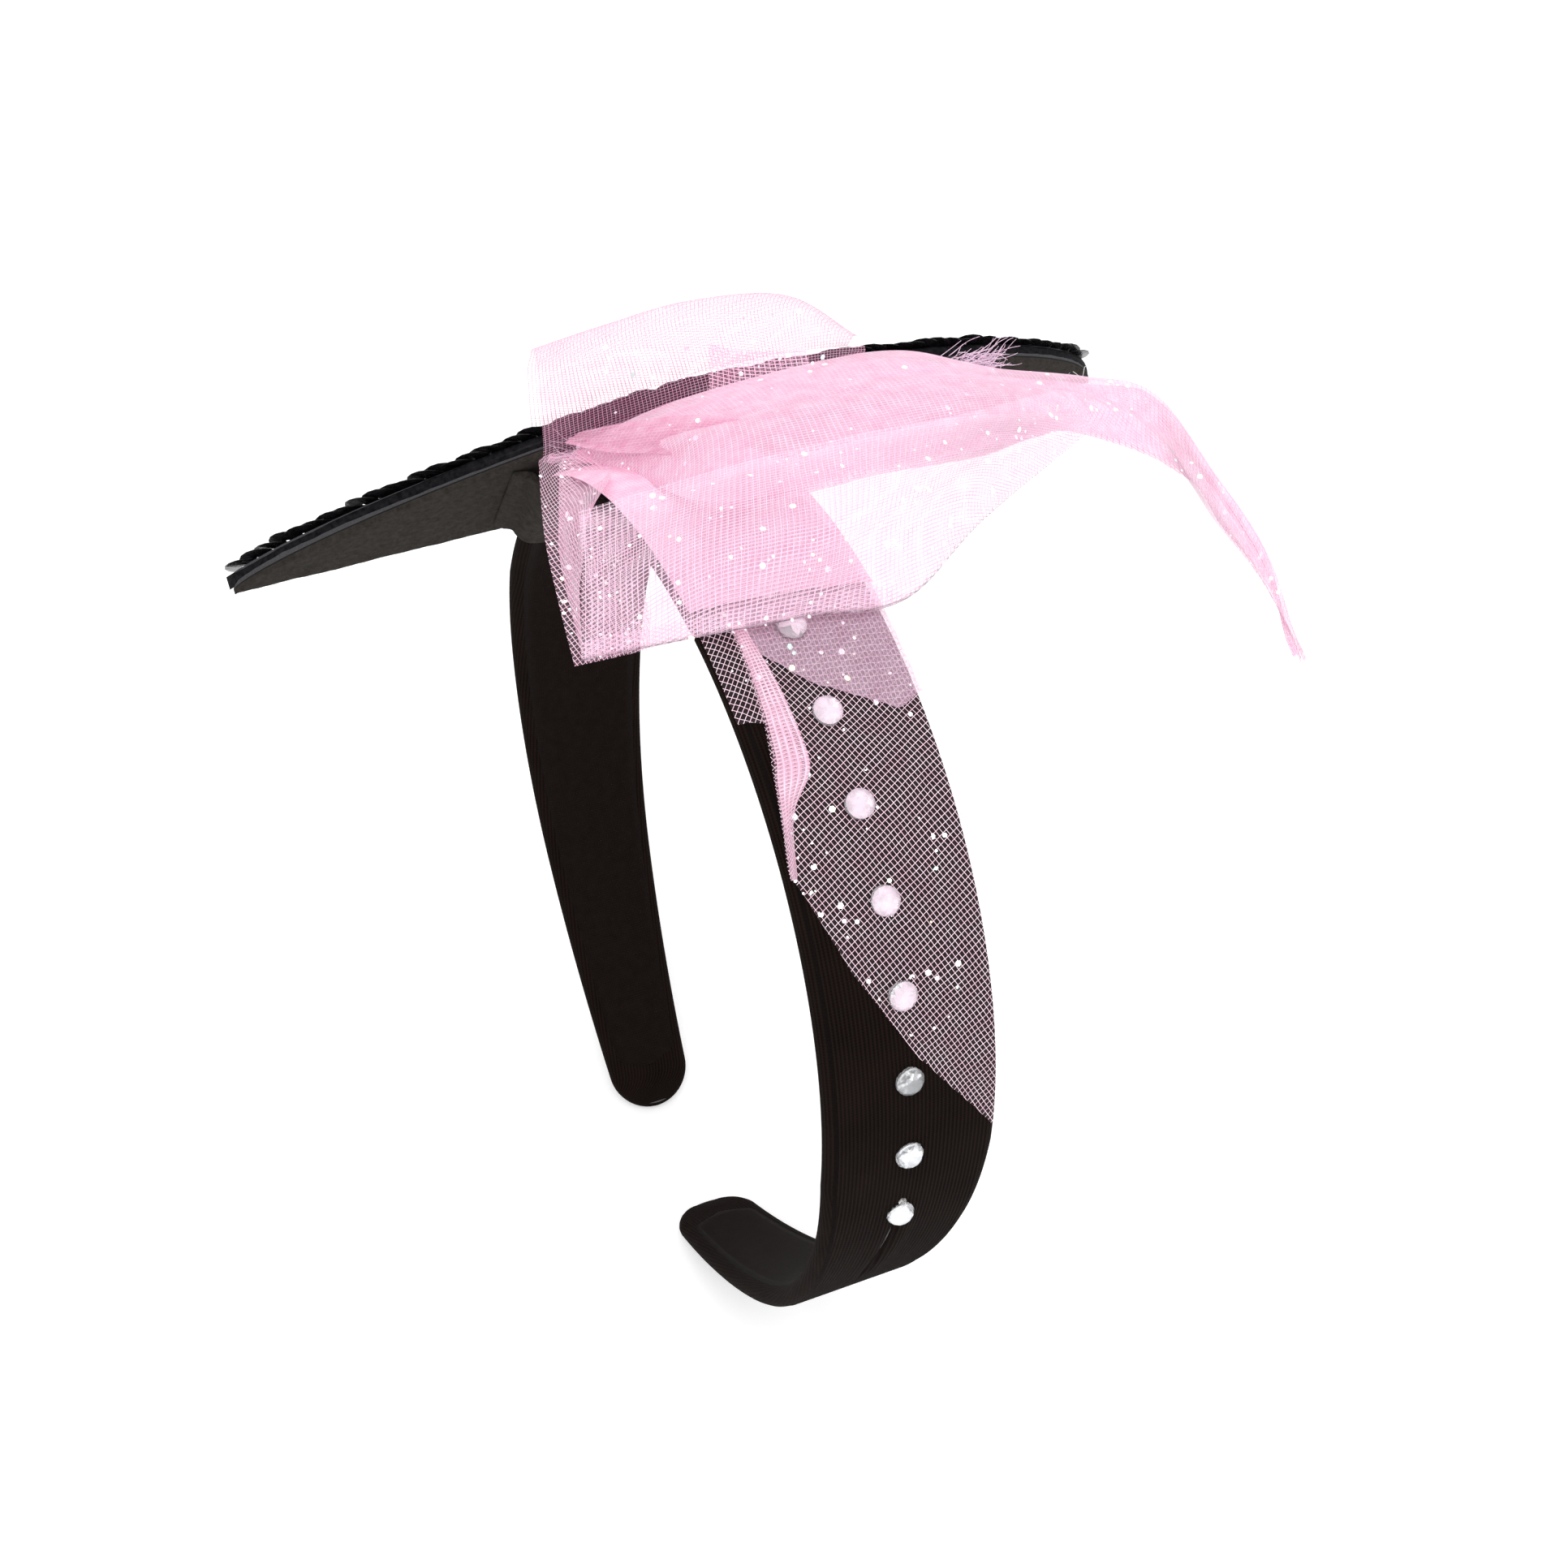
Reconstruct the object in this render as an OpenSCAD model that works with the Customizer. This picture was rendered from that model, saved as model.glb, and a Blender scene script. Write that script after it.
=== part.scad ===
// Animal ears headband: a fabric-covered springy band, a sequinned ear panel on one
// side of the crown, gathered glitter tulle over the top and a row of glued stones.
// The band lies in the XZ plane. The origin is on the inner face of the crown, where
// the head touches it. +Z points up, away from the head, and +X is the arm with stones.

/* [Band] */
// Radius of the crown arc, at the middle of the band's thickness
crown_r = 63; // [54:1:76]
// Half of the crown arc's angle
crown_a = 96.5; // [92:0.5:100]
// Radius of the side arcs
side_r = 88; // [74:1:106]
// Angle of each side arc
side_a = 30; // [24:1:36]
// Radius of the tip arcs
tip_r = 150; // [125:1:180]
// Angle of each tip arc
tip_a = 18.5; // [15:0.5:22]
// Width of the covered band at the crown
band_w = 26; // [21:1:32]
// Width of the covered band at its tips
tip_w = 14; // [11:1:17]
// Distance along the band from the crown to where it starts to taper
taper_from = 88; // [72:1:106]
// Thickness of the plastic core
core_t = 2; // [1.5:0.1:2.6]
// Thickness of the knit cover
cover_t = 0.6; // [0.4:0.1:0.8]
// Gap between the core and the cover
core_clear = 0.05; // [0.02:0.01:0.1]
// Width of the gap where the cover's two edges stop short of each other
cover_slot_w = 8; // [6:1:10]
// Thickness of the lining ribbon
lining_t = 0.4; // [0.3:0.1:0.6]
// Distance of the lining ribbon's edge from the band's edge
lining_inset = 3; // [2:0.5:4]

/* [Ear panel] */
// Place of the panel's middle along the far arm, measured from the crown
panel_s = 72; // [62:1:84]
// Length of the panel, from its narrow tip to its round end
panel_len = 150.5; // [125:0.5:180]
// Height of the panel above its straight edge
panel_h = 33.5; // [28:0.5:41]
// Distance from the narrow tip to the highest point
panel_peak = 75; // [62:1:90]
// Distance from the narrow tip to the band's middle
panel_reach = 59; // [50:1:72]
// How far the straight edge lies below the panel's place on the band
panel_drop = 4; // [2:1:8]
// Turn of the panel in its own plane
panel_turn = 5; // [0:1:10]
// Fullness of the outline on the side of the narrow tip
tip_fullness = 1.4; // [1.2:0.05:2.2]
// Fullness of the outline on the side of the round end
end_fullness = 1.65; // [1.4:0.05:2.6]
// Thickness of the felt backing
felt_t = 1; // [0.7:0.1:1.4]
// Thickness of the foam board
board_t = 2; // [1.5:0.1:2.6]
// Thickness of the cloth that carries the sequins
ground_t = 0.3; // [0.2:0.1:0.5]
// Thickness of the glue between the band and the felt
glue_t = 0.4; // [0.2:0.1:0.8]
// How far the board and the sequin cloth stop inside the felt's edge
board_inset = 0.6; // [0.4:0.1:1.2]

/* [Sequins] */
// Diameter of a sequin
sequin_d = 6; // [5:0.5:7.5]
// Thickness of a sequin
sequin_t = 0.15; // [0.1:0.05:0.2]
// Distance between sequin columns, along the panel
sequin_step = 4; // [3.5:0.25:5]
// Gap between neighbours in a column
sequin_gap = 0.3; // [0.2:0.1:0.6]
// Height that each column gains over the one before
sequin_rise = 0.3; // [0.25:0.05:0.4]

/* [Felt bridge] */
// Place of the bridge's middle along the far arm, measured from the crown
bridge_s = 63; // [57:1:69]
// Length of the felt bridge along the band
bridge_len = 22; // [18:1:27]
// Thickness of the felt bridge
bridge_t = 1; // [0.8:0.1:1.3]
// Width of each flange that is glued to the felt backing
flange_w = 7; // [5:1:9]
// Gap between the bridge and the band
bridge_clear = 0.1; // [0.05:0.05:0.3]

/* [Stones] */
// Number of stones
stone_count = 8; // [5:1:9]
// Distance along the band from the crown to the first stone
stone_first = 9.6; // [8:0.1:11]
// Distance between stones along the band
stone_step = 12.55; // [11:0.05:15]
// Distance of the row of stones from the arm's middle
stone_shift = 0.8; // [0:0.1:1.5]
// Diameter of a stone
stone_d = 4.1; // [3.4:0.1:4.8]
// Height of a stone
stone_h = 1.5; // [1.2:0.1:1.8]
// Height of the stone's straight edge above its flat back
girdle_h = 0.3; // [0.2:0.1:0.4]
// Thickness of the glue under a stone
stone_glue_t = 0.15; // [0.1:0.05:0.2]

/* [Tulle] */
// Thickness of a tulle sheet
tulle_t = 0.4; // [0.3:0.1:0.5]
// Gap between tulle layers and what they lie on
tulle_gap = 0.1; // [0.05:0.05:0.2]
// Distance that the tulle starts behind the crown's middle
veil_back = 5; // [3:1:8]

/* [Hidden] */
STONES = [for (i = [1:stone_count]) str("rhinestone_", i)];
$fn = 96;
far = 400;

// Half of the covered band's thickness, and the height of its middle over the head
half_t = core_t / 2 + cover_t;
seat_h = half_t + lining_t;

// ---- The band's line: three tangent arcs a side, measured by distance s from the crown
function arc_len(r, a) = r * a * PI / 180;
function unit(a) = [sin(a), cos(a)];
side_s = arc_len(crown_r, crown_a);
tip_s = side_s + arc_len(side_r, side_a);
end_s = tip_s + arc_len(tip_r, tip_a);
tip_from = crown_a + side_a;
end_a = tip_from + tip_a;
crown_c = [0, seat_h - crown_r];
side_c = crown_c + (crown_r - side_r) * unit(crown_a);
tip_c = side_c + (side_r - tip_r) * unit(tip_from);
function arc_at(s) = s <= side_s ? [crown_r, 0, 0, crown_c]
  : s <= tip_s ? [side_r, crown_a, side_s, side_c]
  : [tip_r, tip_from, tip_s, tip_c];
// Angle that the band has turned through at s
function turn_at(s) = let (k = arc_at(abs(s))) sign(s) * (k[1] + (abs(s) - k[2]) / k[0] * 180 / PI);
// Point [x, z] at s, off millimetres outside the band's middle
function on_band(s, off = 0) =
  let (k = arc_at(abs(s)), a = abs(turn_at(s)), p = k[3] + (k[0] + off) * unit(a))
  [s < 0 ? -p[0] : p[0], p[1]];
function width_at(s) = s < taper_from ? band_w
  : band_w - (band_w - tip_w) * (s - taper_from) / (end_s - taper_from);

// Puts its children on the band at s, with their +Z pointing out of it
module on_band_at(s, off = 0) {
  p = on_band(s, off);
  translate([p[0], 0, p[1]]) rotate([0, turn_at(s), 0]) children();
}

// Stands a 2D profile of the XZ plane up, w wide along Y
module across(w) {
  rotate([90, 0, 0]) linear_extrude(w, center = true) children();
}

// Ring sector from angle a0 to a1, measured from +Z towards +X
module sector(c, r_in, r_out, a0, a1) {
  steps = ceil((a1 - a0) / 45);
  translate(c) intersection() {
    difference() {
      circle(r_out);
      circle(r_in);
    }
    polygon(concat([[0, 0]], [for (i = [0:steps]) 2 * r_out * unit(a0 + (a1 - a0) * i / steps)]));
  }
}

// Distances along one arm where the band's profile has a corner, about step_a apart
step_a = 2.5;
function stations(from, to, a) = let (n = ceil(a / step_a)) [for (i = [1:n]) from + (to - from) * i / n];
ARM = concat(stations(0, side_s, crown_a), stations(side_s, tip_s, side_a), stations(tip_s, end_s, tip_a));

// The band's profile between two offsets, stopping short of its tips by tip_cut
module strip(off_in, off_out, tip_cut = 0) {
  arm = [for (s = ARM) if (s < end_s - tip_cut - 1) s];
  half = concat(arm, [end_s - tip_cut]);
  last = len(half) - 1;
  line = concat([for (i = [last:-1:0]) -half[i]], [0], half);
  polygon(concat([for (s = line) on_band(s, off_out)],
                 [for (i = [len(line) - 1:-1:0]) on_band(line[i], off_in)]));
}

// The band's tapering width with round tips, as a block that strips are cut from
module width_block(inset) {
  depth = 30;
  lap = 2;
  cuts = [0, taper_from, side_s, tip_s + lap];
  edge = [for (s = cuts) [width_at(s) / 2 - inset, on_band(s)[1]]];
  top = [[edge[0][0], depth]];
  side = concat(top, edge);
  rotate([90, 0, 90]) linear_extrude(far, center = true)
    polygon(concat(side, [for (i = [len(side) - 1:-1:0]) [-side[i][0], side[i][1]]]));
  round_s = end_s - tip_w / 2;
  back = round_s - tip_s;
  for (half = [0, 1]) mirror([half, 0, 0]) on_band_at(round_s)
    linear_extrude(depth, center = true) {
      circle(tip_w / 2 - inset);
      polygon([[0, tip_w / 2 - inset], [-back, width_at(tip_s) / 2 - inset],
               [-back, inset - width_at(tip_s) / 2], [0, inset - tip_w / 2]]);
    }
}

module band_piece(off_in, off_out, inset) {
  intersection() {
    across(band_w + 4) strip(off_in, off_out);
    width_block(inset);
  }
}

module band_core() {
  color("dimgray") band_piece(-core_t / 2, core_t / 2, cover_t + core_clear);
}

module band_cover() {
  pocket = core_t / 2 + core_clear;
  color([0.07, 0.06, 0.06]) difference() {
    band_piece(-half_t, half_t, 0);
    band_piece(-pocket, pocket, cover_t);
    across(cover_slot_w) strip(-half_t - 1, -core_t / 2, tip_w);
  }
}

module band_lining() {
  color([0.09, 0.08, 0.08]) band_piece(-seat_h, -half_t, lining_inset);
}

// ---- The ear panel: layers in a plane that touches the far arm
felt_off = half_t + glue_t;
board_off = felt_off + felt_t;
cloth_off = board_off + board_t;
sequin_off = cloth_off + ground_t;

// Height of the panel's curved edge at y, above its straight edge
function ear_edge(y, len, h, peak) =
  let (p = y < peak ? tip_fullness : end_fullness,
       t = y < peak ? (peak - y) / peak : (y - peak) / (len - peak))
  h * pow(max(0, 1 - pow(t, p)), 1 / p);

// The panel's outline, [height, along], less an inset all round
function ear_outline(inset, steps = 40) =
  let (len = panel_len - 2 * inset, h = panel_h - 2 * inset, peak = panel_peak - inset)
  [for (i = [0:steps]) let (y = len * (1 - cos(180 * i / steps)) / 2)
    [ear_edge(y, len, h, peak) + inset, y + inset]];

module in_panel(off) {
  on_band_at(-panel_s, off) translate([-panel_drop, 0, 0]) rotate(-panel_turn)
    translate([0, -panel_reach, 0]) children();
}

module ear_layer(off, t, inset) {
  in_panel(off) linear_extrude(t) polygon(ear_outline(inset));
}

module panel_felt() {
  color([0.14, 0.14, 0.15]) ear_layer(felt_off, felt_t, 0);
}

module panel_board() {
  color([0.55, 0.55, 0.58]) ear_layer(board_off, board_t, board_inset);
}

module sequin_cloth() {
  color([0.1, 0.1, 0.1]) ear_layer(cloth_off, ground_t, board_inset);
}

// Sequins in columns, each leaning over the column nearer the narrow tip
module sequins() {
  lean = atan(sequin_rise / sequin_step);
  pitch = sequin_d + sequin_gap;
  lift = sequin_d / 2 * sin(lean) + sequin_gap / 2;
  columns = floor((panel_len - sequin_d) / sequin_step);
  color([0.03, 0.03, 0.04]) in_panel(sequin_off + lift)
    for (i = [0:columns]) {
      y = sequin_d / 2 + i * sequin_step;
      low = sequin_d / 2 + (i % 2) * pitch / 2;
      room = ear_edge(y, panel_len, panel_h, panel_peak) - sequin_d / 4;
      for (j = [0:9]) if (low + j * pitch < room)
        translate([low + j * pitch, y, 0]) rotate([-lean, 0, 0])
          cylinder(h = sequin_t, d = sequin_d, $fn = 32);
    }
}

// A felt strap round the inside of the band, with a flange each side on the felt backing
module felt_bridge() {
  inner = half_t + lining_t + bridge_clear;
  wall_in = band_w / 2 + bridge_clear;
  half_a = bridge_len / 2 / crown_r * 180 / PI;
  mid_a = turn_at(-bridge_s);
  up = panel_s - bridge_s;
  color([0.13, 0.13, 0.14]) {
    across(2 * (wall_in + bridge_t))
      sector(crown_c, crown_r - inner - bridge_t, crown_r - inner, mid_a - half_a, mid_a + half_a);
    for (side = [-1, 1]) {
      intersection() {
        translate([0, side * (wall_in + bridge_t / 2), 0]) across(bridge_t)
          sector(crown_c, crown_r - inner - bridge_t, crown_r + felt_off + 5, mid_a - half_a, mid_a + half_a);
        on_band_at(-panel_s, felt_off - far / 2) cube([far, far, far], center = true);
      }
      on_band_at(-panel_s, felt_off - bridge_t / 2)
        translate([up, side * (wall_in + bridge_t / 2 + flange_w / 2), 0])
          cube([bridge_len, flange_w + bridge_t, bridge_t], center = true);
    }
  }
}

module panel_glue() {
  glue_w = band_w - 8;
  glue_len = bridge_len - 2;
  glue_fill = 4;
  color([0.8, 0.78, 0.7]) difference() {
    on_band_at(-panel_s, felt_off - glue_fill)
      translate([panel_s - bridge_s - glue_len / 2, -glue_w / 2, 0])
        cube([glue_len, glue_w, glue_fill]);
    translate([crown_c[0], 0, crown_c[1]]) rotate([90, 0, 0])
      cylinder(h = 2 * band_w, r = crown_r + half_t, center = true, $fn = 180);
  }
}

// ---- Tulle that lies on the near arm
layer = tulle_t + tulle_gap;
veil_off = half_t + tulle_gap;
// Edge of the lower layer's slanted cut and of the upper layer, as [y, s] on the arm
VEIL_CUT = [[-12, 41], [-7, 55], [0, 68], [10, 82], [13, 86]];
UPPER_CUT = [[-13, 21], [-10, 21], [-6, 13], [-1, 18], [9, 24], [13, 22]];
// Distance along the arm that the middle of each layer reaches, which sets the stones' height
veil_end = 68;
upper_end = 18;

// A layer from behind the crown to a cut across the near arm
module veil_layer(off, cut, left) {
  edge = [for (p = cut) [p[0], on_band(p[1])[1]]];
  right = band_w / 2;
  intersection() {
    across(band_w) sector(crown_c, crown_r + off, crown_r + off + tulle_t,
      -veil_back / crown_r * 180 / PI, crown_a);
    rotate([90, 0, 90]) linear_extrude(far)
      polygon(concat([[right, 20], [left, 20], [left, edge[0][1]]], edge, [[right, edge[len(edge) - 1][1]]]));
  }
  intersection() {
    across(2 * right) sector(crown_c, crown_r + off, crown_r + off + tulle_t,
      -veil_back / crown_r * 180 / PI, 0);
    translate([-far, left, -far]) cube([far, right - left, 2 * far]);
  }
}

module arm_veil() {
  color([0.95, 0.78, 0.88, 0.7]) veil_layer(veil_off, VEIL_CUT, -12.5);
}

module arm_veil_upper() {
  color([0.95, 0.72, 0.85, 0.7]) veil_layer(veil_off + layer, UPPER_CUT, -band_w / 2);
}

// ---- Stones
function stone_s(i) = stone_first + (i - 1) * stone_step;
// Offset of what the stone's glue lies on: the upper layer, the lower one or the cover
function stone_base(s) = s < upper_end ? veil_off + layer + tulle_t
  : s < veil_end ? veil_off + tulle_t : half_t;

module rhinestone(i) {
  s = stone_s(i);
  color([0.92, 0.95, 0.98, 0.6]) on_band_at(s, stone_base(s) + stone_glue_t) translate([0, -stone_shift, 0]) {
    cylinder(h = girdle_h, d = stone_d, $fn = 48);
    translate([0, 0, girdle_h])
      cylinder(h = stone_h - girdle_h, d1 = stone_d, d2 = stone_d * 0.5, $fn = 48);
  }
}

module stone_glue() {
  bead_d = 1.2;
  color([0.9, 0.9, 0.85]) {
    for (i = [1:stone_count]) on_band_at(stone_s(i), stone_base(stone_s(i))) translate([0, -stone_shift, 0])
      cylinder(h = stone_glue_t, d = stone_d - 0.4, $fn = 48);
    // A bead of spare glue beside the last stone
    on_band_at(stone_s(stone_count) - stone_d / 2 - 0.7, half_t) translate([0, -stone_shift, 0])
      cylinder(h = 0.5, d = bead_d, $fn = 32);
  }
}

// ---- Free tulle: sheets through hand-placed points, thickened along their normals
// Catmull-Rom value between p1 and p2
function blend(p0, p1, p2, p3, t) = 0.5 * (2 * p1 + (p2 - p0) * t
  + (2 * p0 - 5 * p1 + 4 * p2 - p3) * t * t + (3 * p1 - p0 - 3 * p2 + p3) * t * t * t);
function along(row, u) =
  let (last = len(row) - 1, i = min(floor(u), last - 1), t = u - i,
       before = i > 0 ? row[i - 1] : 2 * row[0] - row[1],
       after = i < last - 1 ? row[i + 2] : 2 * row[last] - row[last - 1])
  blend(before, row[i], row[i + 1], after, t);
function patch(net, u, v) = along([for (row = net) along(row, u)], v);
function patch_normal(net, u, v) =
  let (e = 0.02, u_end = len(net[0]) - 1, v_end = len(net) - 1,
       du = patch(net, min(u + e, u_end), v) - patch(net, max(u - e, 0), v),
       dv = patch(net, u, min(v + e, v_end)) - patch(net, u, max(v - e, 0)),
       n = cross(du, dv))
  n / norm(n);

// A sheet with per_span steps between the points of its net
module sheet(net, per_span = 3) {
  nu = (len(net[0]) - 1) * per_span;
  nv = (len(net) - 1) * per_span;
  grid = [for (j = [0:nv]) for (i = [0:nu])
    let (u = i / per_span, v = j / per_span) [patch(net, u, v), patch_normal(net, u, v)]];
  count = len(grid);
  points = concat([for (g = grid) g[0] + g[1] * tulle_t / 2], [for (g = grid) g[0] - g[1] * tulle_t / 2]);
  function id(i, j) = j * (nu + 1) + i;
  cells = [for (j = [0:nv - 1]) for (i = [0:nu - 1]) [id(i, j), id(i + 1, j), id(i + 1, j + 1), id(i, j + 1)]];
  rim = concat([for (i = [0:nu - 1]) id(i, 0)], [for (j = [0:nv - 1]) id(nu, j)],
               [for (i = [nu:-1:1]) id(i, nv)], [for (j = [nv:-1:1]) id(0, j)]);
  walls = [for (k = [0:len(rim) - 1]) let (a = rim[k], b = rim[(k + 1) % len(rim)])
    [a, b, b + count, a + count]];
  quads = concat([for (c = cells) [c[3], c[2], c[1], c[0]]],
                 [for (c = cells) [for (p = c) p + count]], walls);
  polyhedron(points, [for (q = quads) each [[q[0], q[1], q[2]], [q[0], q[2], q[3]]]]);
}

// The front sheet, from its fold (first row) to its hem (last row), left to right
BOW_FRONT = [
  [[-14, -22, 9], [-12, -5, 13], [-12, 11, 14], [-13, 28, 13], [-16, 45, 8], [-22, 62, -1]],
  [[-4, -25, 6], [3, -12, 13], [4, 5, 14], [2, 19, 13], [-6, 36, 9], [-21, 63, -2]],
  [[4, -28, 0], [10, -14, 6], [11, 1, 6], [12, 15, 6], [2, 32, 7], [-20, 64, -3]]];
// The gathered top, from the panel's edge (first row) to the front fold, with its tail
BOW_TOP = [
  [[-48, -8, -11.5], [-44, -7, -6.5], [-41, 4, 0], [-40, 25, 3], [-42, 42, 0], [-44, 60, -9],
   [-40, 75, -11], [-30, 82, -8], [-14, 85, -12], [-2, 90, -20], [8, 94, -33]],
  [[-47.5, -9, -12], [-38, -6, -3.5], [-26, 3, 8], [-25, 22, 10], [-26, 42, 7], [-30, 56, 0],
   [-31, 72, -7], [-24, 80, -10], [-12, 84, -14], [-1, 89, -22], [9, 94, -33]],
  [[-47, -10, -12.5], [-33, -6, -5], [-8, -4, 11], [-7, 20, 12], [-9, 37, 9], [-17, 52, 2],
   [-24, 66, -7], [-19, 80, -13], [-9, 84, -18], [0, 89, -24], [10, 94, -34]]];
// The flap on the left, from its gather (first row) to its hem
LEFT_FLAP = [
  [[-44, -16, -9], [-46, -13, -10], [-46, -10, -11]],
  [[-32, -20, -7], [-31, -15, -7], [-30, -10, -7]],
  [[-22, -23, -5], [-18, -17, -5], [-14, -12, -6]],
  [[-8, -26, -4], [-6, -20, -3], [-4, -15, -3]],
  [[2, -28, -3], [3, -23, -2], [3, -18, -2]]];
// The crest: a loop over the panel's upper edge, from its felt side to its sequin side
CREST = [
  [[-50, -13, -15.5], [-48, 0, -11], [-46.5, 13, -8], [-46, 27, -7], [-46.5, 38, -8]],
  [[-50, -13, -11.5], [-48, 0, -7], [-46.5, 13, -3.5], [-46.5, 27, -3], [-47, 38, -4]],
  [[-48.5, -14.5, -1.5], [-48, -2, 1.5], [-48, 11, 3.5], [-47.5, 26, 3], [-46.5, 38, -2.5]],
  [[-49, -15.5, 7.5], [-50, -4.5, 8.5], [-51, 9.5, 9.5], [-50.5, 25.5, 7.5], [-47.5, 37.5, -1]],
  [[-54, -14.5, -1.5], [-54, -2.5, 1], [-53.5, 11, 3], [-53.5, 26, 2.5], [-49.5, 37.5, -2]],
  [[-55.5, -13, -13.5], [-53.5, 0, -9], [-52, 13, -5.5], [-52, 27, -5], [-52, 38, -6]]];

module bow_front() { color([0.96, 0.8, 0.9, 0.7]) sheet(BOW_FRONT); }
module bow_top() { color([0.95, 0.72, 0.86, 0.7]) sheet(BOW_TOP); }
module left_flap() { color([0.94, 0.7, 0.84, 0.7]) sheet(LEFT_FLAP); }
module crest() { color([0.97, 0.84, 0.92, 0.7]) sheet(CREST); }

// A few turns of thread that hold a gather against the felt
module gather_stitch(y) {
  thread = 0.5;
  turns = 3;
  color([0.93, 0.6, 0.76]) in_panel_at(y) for (i = [0:turns - 1])
    translate([i * thread * 1.6, 0, 0]) rotate([90, 0, 0])
      cylinder(h = 4, d = thread, center = true, $fn = 24);
}

// A place on the felt's inner face at y, where the gathers are held
module in_panel_at(y) {
  gather_up = 20;
  on_band_at(-panel_s, felt_off - 0.3) translate([gather_up, y, 0]) children();
}

module gather_stitch_left() { gather_stitch(-10); }
module gather_stitch_right() { gather_stitch(62); }

band_core();
band_cover();
band_lining();
panel_felt();
panel_board();
sequin_cloth();
sequins();
felt_bridge();
panel_glue();
for (i = [1:stone_count]) rhinestone(i);
stone_glue();
arm_veil();
arm_veil_upper();
bow_front();
bow_top();
left_flap();
crest();
gather_stitch_left();
gather_stitch_right();
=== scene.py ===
"""Animal ears headband: the looks of every piece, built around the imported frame.

The band lies in the XZ plane, the origin is on the inner face of its crown, +Z points up
and +X is the arm with the stones. Sizes in this script are in millimetres and are turned
into metres where a mesh is made.
"""

import logging
import math
import random
from collections.abc import Sequence
from dataclasses import dataclass, field
from enum import Enum

import bpy
import numpy as np
from mathutils import Matrix, Vector, noise


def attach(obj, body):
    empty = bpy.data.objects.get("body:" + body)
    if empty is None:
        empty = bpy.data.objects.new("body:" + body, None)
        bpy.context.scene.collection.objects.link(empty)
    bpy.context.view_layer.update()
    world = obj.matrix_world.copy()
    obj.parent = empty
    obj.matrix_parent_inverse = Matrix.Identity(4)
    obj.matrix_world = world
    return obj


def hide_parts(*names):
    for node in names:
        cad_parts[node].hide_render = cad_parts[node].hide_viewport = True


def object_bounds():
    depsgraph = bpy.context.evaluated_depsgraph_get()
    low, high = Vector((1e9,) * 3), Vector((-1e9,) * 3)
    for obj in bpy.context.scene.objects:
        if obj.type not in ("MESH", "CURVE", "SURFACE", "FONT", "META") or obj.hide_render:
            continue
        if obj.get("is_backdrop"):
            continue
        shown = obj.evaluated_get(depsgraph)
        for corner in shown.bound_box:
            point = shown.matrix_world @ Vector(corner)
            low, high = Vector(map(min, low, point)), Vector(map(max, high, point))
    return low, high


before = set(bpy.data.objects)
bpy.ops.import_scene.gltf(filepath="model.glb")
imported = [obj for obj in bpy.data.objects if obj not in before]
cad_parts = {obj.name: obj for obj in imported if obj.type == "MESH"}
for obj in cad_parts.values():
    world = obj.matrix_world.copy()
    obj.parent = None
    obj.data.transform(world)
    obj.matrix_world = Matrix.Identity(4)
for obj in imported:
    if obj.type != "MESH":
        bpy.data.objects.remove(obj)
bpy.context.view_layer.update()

MM = 0.001
BODY = "root"
FELT_FIBRES = 1500  # loose fibres on the felt back
GATHER_THREADS = 90  # frayed threads at the right gather
LEFT_THREADS = 18  # frayed threads at the left gather
FOIL_SIDES = 16  # pleats and flats round the backing of a stone
LOG = logging.getLogger("headband")
Socket = bpy.types.NodeSocket
Row = list[tuple[float, float, float]]


class Layout(Enum):
    LAID = "laid"
    DRAPED = "draped"
    GATHERED = "gathered"
    FOLDED = "folded"


# ---------------------------------------------------------------- meshes


def make_mesh(name: str, points: np.ndarray, faces: Sequence[Sequence[int]],
              uv: np.ndarray | None = None, smooth: bool = True) -> bpy.types.Object:
    """Makes an object from points in millimetres.

    Args:
        name: The piece's name.
        points: Its vertices, in millimetres.
        faces: Vertex numbers of each face.
        uv: One pair a vertex, in millimetres of cloth, or None.
        smooth: Whether its faces are shaded smooth.

    Returns:
        The new object, linked to the scene.
    """
    mesh = bpy.data.meshes.new(name)
    mesh.from_pydata((np.asarray(points) * MM).tolist(), [], [list(f) for f in faces])
    if uv is not None:
        layer = mesh.uv_layers.new(name="cloth")
        index = np.empty(len(mesh.loops), dtype=np.int32)
        mesh.loops.foreach_get("vertex_index", index)
        layer.data.foreach_set("uv", np.asarray(uv, dtype=np.float32)[index].ravel())
    mesh.polygons.foreach_set("use_smooth", [smooth] * len(mesh.polygons))
    mesh.update()
    piece = bpy.data.objects.new(name, mesh)
    bpy.context.scene.collection.objects.link(piece)
    return piece


def grid_faces(rows: int, columns: int, closed: bool = False, start: int = 0) -> list[list[int]]:
    """Lists the quads of a grid of vertices.

    Args:
        rows: Number of rows of vertices.
        columns: Number of vertices in a row.
        closed: Whether each row's last vertex joins its first.
        start: Number of the grid's first vertex.

    Returns:
        Quads as lists of vertex numbers.
    """
    faces = []
    for j in range(rows - 1):
        for i in range(columns if closed else columns - 1):
            k = (i + 1) % columns
            faces.append([start + j * columns + i, start + j * columns + k,
                          start + (j + 1) * columns + k, start + (j + 1) * columns + i])
    return faces


def tube_faces(rows: int, columns: int, start: int = 0) -> list[list[int]]:
    """Lists the faces of a tube of rings, with a flat face on each end.

    Args:
        rows: Number of rings.
        columns: Number of vertices in a ring.
        start: Number of the tube's first vertex.

    Returns:
        Faces as lists of vertex numbers.
    """
    last = start + (rows - 1) * columns
    return grid_faces(rows, columns, True, start) + [list(range(start, start + columns))[::-1],
                                                     list(range(last, last + columns))]


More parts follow.
